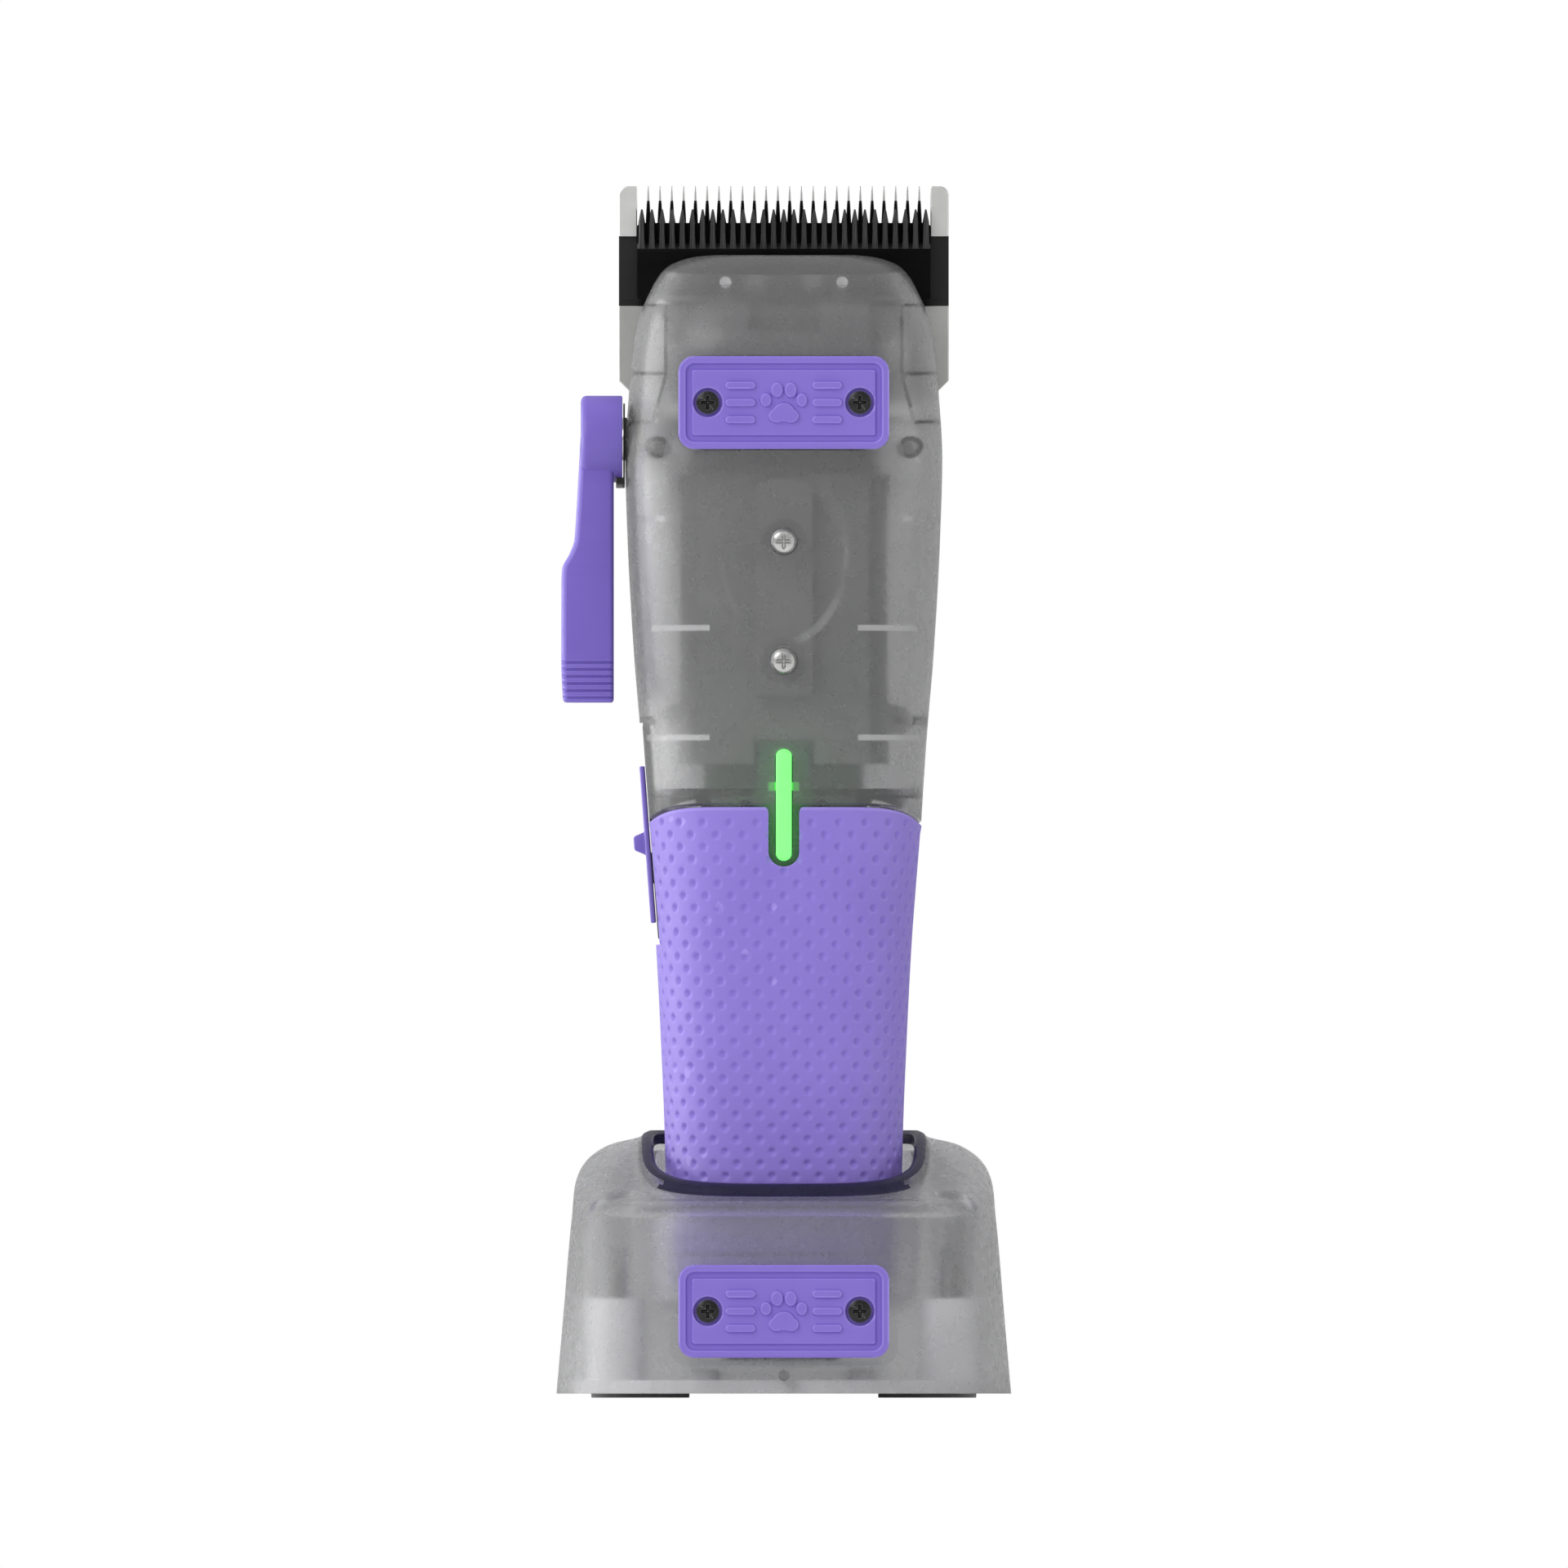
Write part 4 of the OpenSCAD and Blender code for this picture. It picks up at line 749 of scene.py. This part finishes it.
def badge_mesh(name, centre, front):
    """Badge plate: moulded border, groove, panel, screw wells and a paw print between bars."""
    w, h, cell = 29.4, 12.95, 0.11
    nx, nz = int(w / cell) + 3, int(h / cell) + 3
    across, up = (np.linspace(-size / 2 - cell, size / 2 + cell, n) for size, n in ((w, nx), (h, nz)))
    gx, gz = np.meshgrid(across, up)
    d = sd_rect(gx, gz, w, h, 2.2)
    out = d > 0
    e = 1e-3
    grad = np.stack([sd_rect(gx + e, gz, w, h, 2.2) - d, sd_rect(gx, gz + e, w, h, 2.2) - d]) / e
    px, pz = np.where(out, gx - grad[0] * d, gx), np.where(out, gz - grad[1] * d, gz)
    y = np.zeros_like(px)
    y += 0.12 * step(d, -0.28, 0) ** 2
    y += 0.62 * (1 - step(sd_rect(px, pz, w - 2.1, h - 2.1, 1.2), -0.14, 0.14))
    panel = sd_rect(px, pz, w - 3.7, h - 3.7, 0.45)
    y -= 0.42 * (1 - step(panel, -0.14, 0.14))
    raised = np.full_like(px, 9.0)
    for cx, cz, r, k in ((0, -1.35, 1.55, 0.85), (-1.0, -1.85, 1.1, 0.9), (1.0, -1.85, 1.1, 0.9),
                         (-2.5, 0.35, 0.78, 1.2), (-0.95, 1.75, 0.85, 1.25), (0.95, 1.75, 0.85, 1.25),
                         (2.5, 0.35, 0.78, 1.2)):
        raised = np.minimum(raised, sd_disc(px, pz, cx, cz, r, k))
    for s in (-1, 1):
        for cz in (-2.4, 0, 2.4):
            raised = np.minimum(raised, sd_rect(px - s * 6.05, pz - cz, 4.2, 1.1, 0.55))
    y -= 0.46 * (1 - step(raised, -0.09, 0.09))
    for s in (-1, 1):
        y += 1.0 * (1 - step(sd_disc(px, pz, s * 10.6, 0, 2.0), -0.12, 0.1))
    verts = np.stack([px, y, pz], 2).reshape(-1, 3)
    faces = []
    for r in range(nz - 1):
        for c in range(nx - 1):
            q = (r * nx + c, r * nx + c + 1, (r + 1) * nx + c + 1, (r + 1) * nx + c)
            if not all(out.flat[i] for i in q):
                faces.append(q)
    o = new_object(name, verts + np.array([centre[0], front, centre[2]]), faces, BADGE)
    bm = bmesh.new()
    bm.from_mesh(o.data)
    bmesh.ops.delete(bm, geom=[v for v in bm.verts if not v.link_faces], context="VERTS")
    rim = [x for x in bm.edges if x.is_boundary]
    ext = bmesh.ops.extrude_edge_only(bm, edges=rim)
    new = [v for v in ext["geom"] if isinstance(v, bmesh.types.BMVert)]
    for v in new:
        v.co.y = (front + 1.9) * MM
    bmesh.ops.contextual_create(bm, geom=[x for x in ext["geom"] if isinstance(x, bmesh.types.BMEdge)])
    bmesh.ops.recalc_face_normals(bm, faces=bm.faces)
    bm.to_mesh(o.data)
    bm.free()
    soften(o, 50)
    return o


def screw(name, at, direction, head_r, head_h, shank_r, length, mat, dome=0.3):
    """Pan-head screw with a cross recess; direction is the way its tip points."""
    rings, steps = 26, 120
    a = np.linspace(0, 2 * np.pi, steps, endpoint=False)
    loops = []
    for t in np.linspace(0.001, 1, rings):
        r = head_r * t
        x, z = r * np.cos(a), r * np.sin(a)
        y = head_h * dome * t**2.6
        arm = 0.15 * head_r
        cross = np.minimum(np.maximum(np.abs(x) - arm, np.abs(z) - 0.62 * head_r),
                           np.maximum(np.abs(z) - arm, np.abs(x) - 0.62 * head_r))
        y = y + 0.62 * head_h * (1 - step(cross, -0.1 * head_r, 0.03)) * step(0.66 - t, 0, 0.2)
        loops.append(np.stack([x, y, z], 1))
    for y, r in ((head_h * 0.55, head_r), (head_h * 0.97, head_r), (head_h, head_r * 0.97),
                 (head_h, shank_r), (head_h + length * 0.9, shank_r), (head_h + length, shank_r * 0.6)):
        loops.append(np.stack([r * np.cos(a), np.full(steps, y), r * np.sin(a)], 1))
    o = stack(name, loops, mat)
    soften(o, 38)
    q = Vector((0, 1, 0)).rotation_difference(Vector(direction))
    o.data.transform(Matrix.Translation(Vector(at) * MM) @ q.to_matrix().to_4x4())
    return o


def badges():
    for name, length in (("head", 7.6), ("stand", 5)):
        node, screws = name + "_badge", name + "_badge_screws"
        c = mid(node)
        front = low(node)[1] + 0.15
        place(badge_mesh(name + "_badge_plate", c, front), node)
        y = low(screws)[1]
        two = [screw("s", (s * 10.6, y, c[2]), (0, 1, 0), 1.6, 0.8, 0.8, length, SCREW) for s in (-1, 1)]
        place(join_sharp(two, name + "_badge_screw_pair"), screws)


def join_sharp(parts, name):
    o = join(parts, name)
    o.data.set_sharp_from_angle(angle=math.radians(38))
    return o


def screw_pairs():
    """Centre screws in front; blade and housing screws from behind."""
    front, blade, rear = low("centre_screws")[1], high("blade_screws")[1], high("housing_screws")[1]
    pairs = (("centre", [(0, front, z) for z in (119.4, 102.7)], 1, (1.8, 1.1, 1.0, 4.6)),
             ("blade", [(s * 9.5, blade, 143.3) for s in (-1, 1)], -1, (2.4, 1.4, 1.5, 6.2)),
             ("housing", [(s * 14.9, rear, 94.5) for s in (-1, 1)], -1, (1.9, 1.6, 1.0, 14)))
    for name, places, way, sizes in pairs:
        two = [screw("s", at, (0, way, 0), *sizes, BRIGHT) for at in places]
        place(join_sharp(two, name + "_screw_pair"), name + "_screws")


# ---------------------------------------------------------------- blades


def loft_teeth(name, centres, levels, mat):
    """Row of teeth. levels: (z, front width, back width, front y, back y, groove width, groove depth)."""
    parts_v, parts_f, base = [], [], 0
    for x in centres:
        loops = []
        for z, wf, wb, yf, yb, g, gd in levels:
            e = min(0.06, wf * 0.2)
            loops.append([(x - wf / 2, yf + e, z), (x - wf / 2 + e, yf, z), (x - g / 2, yf, z),
                          (x, yf + gd, z), (x + g / 2, yf, z), (x + wf / 2 - e, yf, z),
                          (x + wf / 2, yf + e, z), (x + wb / 2, yb, z), (x - wb / 2, yb, z)])
        loops = np.array(loops)
        r, c, _ = loops.shape
        parts_v.append(loops.reshape(-1, 3))
        for i in range(r - 1):
            for k in range(c):
                d = (k + 1) % c
                here, above = base + i * c, base + (i + 1) * c
                parts_f.append((here + k, here + d, above + d, above + k))
        parts_f.append(tuple(base + k for k in range(c))[::-1])
        parts_f.append(tuple(base + (r - 1) * c + k for k in range(c)))
        base += r * c
    return new_object(name, np.concatenate(parts_v), parts_f, mat, False)


def fixed_blade():
    top, half = high("fixed_blade")[2], (high("fixed_blade")[0] - low("fixed_blade")[0]) / 2
    bottom = low("fixed_blade")[2]
    side = [(half - 3.3, bottom), (half, 141.8)]
    side += [(half - 1.25 + 1.25 * math.cos(t), top - 1.25 + 1.25 * math.sin(t))
             for t in np.linspace(0, math.pi / 2, 9)]
    side += [(half - 2.42, top), (half - 2.56, top - 0.2), (half - 2.56, 161)]
    body = prism("p", side + [(-x, z) for x, z in side[::-1]], 7.0, 10.4, BLADE)
    channel = [(6, 151), (6, 161.9), (7.8, 161.9), (7.8, 153.2), (7, 152.2)]
    combine(body, [stack("hole", [[(x, y, z) for y, z in channel] for x in (-30, 30)])], "DIFFERENCE")
    wedge = box_object("hole", (-30, 0, -6), (30, 10, 16))
    back_slope = Matrix.Rotation(math.radians(12.5), 4, "X")
    wedge.data.transform(Matrix.Translation(Vector((0, 10.4, 158.5)) * MM) @ back_slope)
    holes = [lathe("hole", [(6, 1.6), (12, 1.6)], "y", (s * 9.5, 0, 143.3), 40) for s in (-1, 1)]
    combine(body, [wedge] + holes, "DIFFERENCE")
    soften(body, 30, 0.13)
    xs = [(i - 11.5) * 1.643 for i in range(24)]
    levels = [(160.5, 0.95, 0.7, 7.0, 9.8, 0.01, 0.0), (161.5, 0.86, 0.62, 7.0, 9.6, 0.3, 0.1),
              (164.2, 0.7, 0.5, 7.0, 9.1, 0.36, 0.34), (166.4, 0.46, 0.36, 7.0, 8.6, 0.26, 0.3),
              (166.9, 0.36, 0.3, 7.0, 8.5, 0.02, 0.0), (168.3, 0.24, 0.2, 7.08, 8.2, 0.01, 0.0),
              (168.75, 0.18, 0.15, 7.16, 8.1, 0.01, 0.0), (top, 0.08, 0.06, 7.35, 7.95, 0.01, 0.0)]
    teeth = loft_teeth("t", xs, levels, BLADE)
    o = join([body, teeth], "fixed_blade_ground")
    o.data.set_sharp_from_angle(angle=math.radians(9))
    place(o, "fixed_blade")
    # The channel is darkened with painted shadow, and the teeth are dark below 166.9 mm
    o.data.materials.append(BLACK_AND_PAINTED_SHADOW)
    o.data.materials.append(BLADE_CORNER_PAINTED_HIGHLIGHT)
    for f in o.data.polygons:
        c, n = f.center / MM, f.normal
        tooth = abs(c.x) < 20.3 and c.z > 160.2
        if abs(c.x) > 20.4 and c.z > 161.95:
            # Painted highlight on the top corners
            f.material_index = 2
        elif (tooth and c.z < 166.9) or (c.y < 7.9 and 152.1 < c.z < 162.1 and (c.y > 7.2 or abs(n.z) > 0.5)):
            # Painted shadow in the channel; dark lower teeth
            f.material_index = 1
    return o


def cutter():
    half, tip = 20.45, high("cutter_blade")[2]
    lo = low("cutter_blade")[2]
    yf, yb = low("cutter_blade")[1], high("cutter_blade")[1]
    body = prism("p", [(-half, lo), (half, lo), (half, 160.2), (-half, 160.2)], yf, yb, CUTTER)
    back = prism("p", [(-half, 159), (half, 159), (half, tip - 2.3), (half - 0.45, tip - 1.9),
                       (-half + 0.45, tip - 1.9), (-half, tip - 2.3)], yf + 1.45, yb, CUTTER)
    side = [(yf, 159.6), (yf + 0.02, 160.15), (yf + 1.47, 160.95), (yf + 1.47, 159.6)]
    loops = [[(x, y, z) for y, z in side] for x in (-half, half)]
    ramp = stack("p", loops, CUTTER, False)
    combine(body, [back, ramp], "UNION")
    soften(body, 30, 0.07)
    xs = [(i - 14) * 1.414 for i in range(29)]
    levels = [(160.0, 1.0, 1.1, yf + 0.03, yf + 1.6, 0.01, 0.0), (160.7, 0.78, 1.0, yf, yf + 2.0, 0.3, 0.05),
              (162.6, 0.62, 1.0, yf, yf + 2.3, 0.24, 0.1), (163.8, 0.6, 0.96, yf, yb, 0.2, 0.08),
              (164.7, 0.46, 0.62, yf + 0.12, yb, 0.12, 0.04), (165.4, 0.3, 0.36, yf + 0.4, yb, 0.02, 0.0),
              (tip, 0.14, 0.2, yf + 0.9, yb, 0.01, 0.0)]
    teeth = loft_teeth("t", xs, levels, CUTTER)
    o = join([body, teeth], "cutter_toothed")
    o.data.set_sharp_from_angle(angle=math.radians(28))
    place(o, "cutter_blade")
    o.data.materials.append(TOOTH)
    for f in o.data.polygons:
        if f.center.y / MM < yf + 1.3 and f.center.z / MM > 160.3:
            f.material_index = 1
    return o


# ---------------------------------------------------------------- taper lever and slider


def rounded_loop(x0, x1, y0, y1, r, z, steps=6):
    r = min(r, (x1 - x0) / 2 - 1e-3, (y1 - y0) / 2 - 1e-3)
    pts = []
    corners = ((x1 - r, y1 - r, 0), (x0 + r, y1 - r, 90), (x0 + r, y0 + r, 180), (x1 - r, y0 + r, 270))
    for cx, cy, a0 in corners:
        for t in np.linspace(a0, a0 + 90, steps):
            pts.append((cx + r * math.cos(math.radians(t)), cy + r * math.sin(math.radians(t)), z))
    return pts


def lever():
    c_y, c_z = -4.0, 133.65
    foot = low("taper_lever")[2]
    outside = pchip([(foot, -30.8), (102.4, -31.02), (114.0, -31.0), (115.6, -30.9), (117.6, -29.9),
                     (119.6, -29.2), (121, -29.08), (130, -28.55), (138, -28.1)])
    zs = np.concatenate([[foot, foot + 0.12, foot + 0.35], np.arange(foot + 0.6, 103.2, 0.09),
                         np.linspace(103.4, 114, 10), np.linspace(114.4, 121, 26), np.linspace(122, 134, 8)])
    loops = []
    for z in zs:
        k = {0: 0.5, 1: 0.2, 2: 0.05}.get(int(np.argmin(np.abs(zs - z))), 0)
        groove = 0.0
        if foot + 0.5 < z < foot + 6:
            groove = 0.34 * max(0.0, math.cos(2 * math.pi * (z - foot - 0.7) / 0.98)) ** 0.8
        wide = 4.5 - 0.25 * float(step(z, 112, 122)) - k - groove
        loops.append(rounded_loop(float(outside(z)) + k, -23.7 - k * 0.6, c_y - wide, c_y + wide, 0.75, z))
    arm = stack("arm", loops, LEVER)
    hub = lathe("hub", [(-28.3, 5.2), (-28.2, 5.6), (-28, 5.88), (-27.7, 6.03), (-27.4, 6.05), (-22.7, 6.05),
                        (-22.55, 5.97), (-22.5, 5.8)], "x", (0, c_y, c_z), 96, LEVER)
    combine(arm, [hub], "UNION")
    bore = [(-30, 2.8), (-26, 2.8), (-25.99, 1.3), (-25.2, 1.3), (-25.19, 3.02), (-22, 3.02)]
    combine(arm, [lathe("hole", bore, "x", (0, c_y, c_z), 64)], "DIFFERENCE")
    arm.name = "taper_lever_satin"
    soften(arm, 40)
    place(arm, "taper_lever")
    # Keeps the frosted housing beside it clear of a purple reflection
    arm.visible_glossy = False
    s = screw("lever_screw_pan", (low("lever_screw")[0], c_y, c_z), (1, 0, 0), 2.4, 1.7, 1.0, 5.2, BRIGHT)
    place(s, "lever_screw")


def slider():
    plate = on_slide(stack("p", [rounded_loop(-0.85, -0.1, -5, 5, 0.3, -10.95),
                                 rounded_loop(-0.85, -0.1, -5, 5, 0.3, 10.95)], LEVER, False))
    me = [(-0.5, -1.6), (-0.5, 1.9), (-2.1, 1.35), (-2.4, 1.1), (-2.4, -0.5), (-2.2, -0.75)]
    loops = [[(x, y, z) for x, z in me] for y in (-4, 4)]
    nub = on_slide(stack("p", loops, LEVER, False))
    stem = on_slide(box_object("p", (-0.5, -1.3, -5.4), (5.6, 1.3, -1.2)))
    combine(plate, [nub, stem], "UNION")
    plate.name = "power_slider_satin"
    soften(plate, 32, 0.18, 3)
    place(plate, "power_slider")


# ---------------------------------------------------------------- stand

# Stand's rows: half width, half depth, height in front, height at the back
OUTER = np.array([(31.7, 34, 0.57, 0.57), (30.7, 33, 12, 12), (29.9, 32.2, 20, 22), (29.5, 31.8, 24, 26),
                  (29.2, 31.5, 25.7, 29.5), (28.6, 30.9, 26.7, 31.6), (27.3, 29.5, 27.3, 33.5),
                  (24.3, 26, 27.55, 35.4), (21.2, 21.4, 27.65, 36.2), (20.3, 20.2, 27.9, 36.5),
                  (19.8, 19.6, 28.9, 37), (19.2, 18.8, 29.3, 37.3), (18.6, 18, 29.2, 37.3),
                  (18.2, 17.2, 28.6, 36.8)])
INNER_ROWS = np.array([(30.1, 31.4, 0.57, 0.57), (29.1, 30.4, 12, 12), (28.2, 29.6, 19.5, 21.5),
                       (27.7, 29.2, 22.8, 25), (27.3, 28.8, 23.9, 28), (26.7, 28.2, 24.9, 30),
                       (25.6, 27, 25.5, 31.8), (23.4, 24.6, 26.1, 33.6), (21, 21, 26.4, 34.7),
                       (19.2, 18.3, 26.8, 35.2), (18.6, 17.6, 27, 35.3), (18.2, 17.2, 27.1, 35.4)])


def dense(rows, count):
    """More rows along a smooth line through the given ones."""
    s = np.concatenate([[0], np.cumsum(np.linalg.norm(np.diff(rows, axis=0), axis=1))])
    q = np.unique(np.concatenate([np.linspace(0, s[-1], count), s]))
    return np.stack([pchip(np.column_stack([s, rows[:, i]]))(q) for i in range(4)], 1)


def stand_row(r, cols, n=3.2):
    a = np.linspace(-math.pi / 2, 1.5 * math.pi, 1600, endpoint=False)
    p = resample(squircle(r[0], r[1], a, n), cols, True)
    z = r[2] + (r[3] - r[2]) * step(p[:, 1], -24, 10)
    return np.column_stack([p, z])


def stand_shell():
    c = 180
    outer = [stand_row(r, c) for r in dense(OUTER, 60)]
    inner = [stand_row(r, c) for r in dense(INNER_ROWS, 26)]
    o = grids("stand_shell_frosted", outer, inner, True)
    pillars = [(x, y, 0) for x in (-23.3, 23.3) for y in (-14, 14)]
    posts = [lathe("post", [(14.1, 2.6), (28.1 if p[1] < 0 else 33.6, 2.6)], "z", p, 32) for p in pillars]
    combine(o, posts, "UNION")
    cuts = [lathe("hole", [(13, 1.42), (21, 1.42)], "z", p, 24) for p in pillars]
    cuts.append(prism("hole", [(x, z + 11.75) for x, z in rounded_rect(31.8, 14.5, 2.4)], -36, -31.85))
    cuts.append(prism("hole", [(x, z + 7.25) for x, z in rounded_rect(9.8, 4, 1.9)], 28, 36))
    cuts.append(lathe("hole", [(-36, 0.85), (-28, 0.85)], "y", (0, 0, 3.1), 32))
    combine(o, cuts, "DIFFERENCE")
    soften(o, 35)
    place(o, "stand_shell")
    o.data.materials.clear()
    o.data.materials.append(STAND)
    # Painted shade round the opening: a dark purple band for the shadow under the grip and its dim reflection
    # on the lip
    o.data.materials.append(OPENING_PAINTED_SHADE)
    for f in o.data.polygons:
        x, y, z = f.center / MM
        r = (abs(x / 20.3) ** 3.2 + abs(y / 20.2) ** 3.2) ** (1 / 3.2)
        if r < (1.03 if y < -15 else 0.98) and z > 27.6 and f.normal.z > -0.5:
            f.material_index = 1


# ---------------------------------------------------------------- carried-over nodes


def finish_cad():
    """Every CAD node that still shows gets its finish and softened edges."""
    for name, o in nodes.items():
        if o.hide_render:
            continue
        mat = {"chassis": CHASSIS, "stand_base": BASE, "stand_board": WHITE_BOARD,
               "lever_collar": BLACK_AND_PAINTED_SHADOW, "slider_bezel": BEZEL}.get(name, FINISH[slots[name]])
        o.data.materials.clear()
        o.data.materials.append(mat)
        weld = o.modifiers.new("weld", "WELD")
        weld.merge_threshold = 1e-6
        b = o.modifiers.new("bevel", "BEVEL")
        b.width = 0.12 * MM
        b.segments = 2
        b.limit_method = "ANGLE"
        b.angle_limit = math.radians(40)


# ---------------------------------------------------------------- scene


def area(name, at, size, power, target=(0, 0, 0.085), diffuse=True, glossy=True):
    d = bpy.data.lights.new(name, "AREA")
    d.shape = "RECTANGLE"
    d.size, d.size_y = size
    d.energy = power
    o = bpy.data.objects.new(name, d)
    o.location = at
    o.rotation_euler = (Vector(target) - Vector(at)).to_track_quat("-Z", "Y").to_euler()
    o.visible_diffuse = diffuse
    o.visible_glossy = glossy
    o.visible_transmission = False
    o.visible_camera = False
    bpy.context.scene.collection.objects.link(o)


def studio():
    sc = bpy.context.scene
    sc.view_settings.view_transform = "Standard"
    sc.view_settings.look = "None"
    w = bpy.data.worlds.new("studio")
    w.use_nodes = True
    sc.world = w
    nt = w.node_tree
    nt.nodes.clear()
    out = nt.nodes.new("ShaderNodeOutputWorld")
    lit, seen = (nt.nodes.new("ShaderNodeBackground") for _ in range(2))
    mix = nt.nodes.new("ShaderNodeMixShader")
    lit.inputs["Color"].default_value = (1, 1, 1, 1)
    lit.inputs["Strength"].default_value = 0.5
    seen.inputs["Color"].default_value = (1, 1, 1, 1)
    seen.inputs["Strength"].default_value = 1.0
    path = nt.nodes.new("ShaderNodeLightPath")
    nt.links.new(path.outputs["Is Camera Ray"], mix.inputs[0])
    nt.links.new(lit.outputs[0], mix.inputs[1])
    nt.links.new(seen.outputs[0], mix.inputs[2])
    nt.links.new(mix.outputs[0], out.inputs[0])
    area("key", (-0.6, -0.75, 0.7), (0.7, 0.7), 5.0)
    area("fill", (0.8, -0.7, 0.3), (0.6, 0.6), 0.8)
    area("front", (0, -1.1, 0.02), (0.8, 0.3), 1.2, glossy=False)
    area("top", (0.0, 0.1, 0.9), (0.8, 0.6), 3.0, glossy=False)
    area("side_left", (-0.95, -0.05, 0.4), (0.9, 0.26), 1.4, diffuse=False)
    area("side_low", (-0.95, -0.1, 0.07), (0.9, 0.14), 3.2, diffuse=False)
    area("rim_left", (-0.8, 0.35, 0.2), (0.6, 0.8), 5.0)
    area("side_right", (0.95, -0.15, 0.36), (0.8, 0.5), 2.6, diffuse=False)
    me = bpy.data.meshes.new("floor")
    me.from_pydata([(-1.5, -1.5, 0), (1.5, -1.5, 0), (1.5, 1.5, 0), (-1.5, 1.5, 0)], [], [(0, 1, 2, 3)])
    floor = bpy.data.objects.new("floor", me)
    floor.location.z = -0.0002
    sc.collection.objects.link(floor)
    me.materials.append(plastic("floor_paper", (0.8, 0.8, 0.8), (0.84, 0.84, 0.84), (0.6, 0.7), 400, 0.05, 6))
    cam = bpy.data.cameras.new("camera")
    cam.type = "ORTHO"
    # Square on the front, 218.6 mm of it in view, with the middle of the picture 85.6 mm above the floor
    cam.ortho_scale = 218.614 * MM
    o = bpy.data.objects.new("camera", cam)
    o.location = (0.0285 * MM, -1.2, 85.567 * MM)
    o.rotation_euler = (math.pi / 2, 0, 0)
    sc.collection.objects.link(o)
    sc.camera = o
    cam.clip_end = 20


studio()
front_shell()
rear_shell()
grip()
light_bar()
badges()
fixed_blade()
cutter()
lever()
slider()
stand_shell()
screw_pairs()
finish_cad()
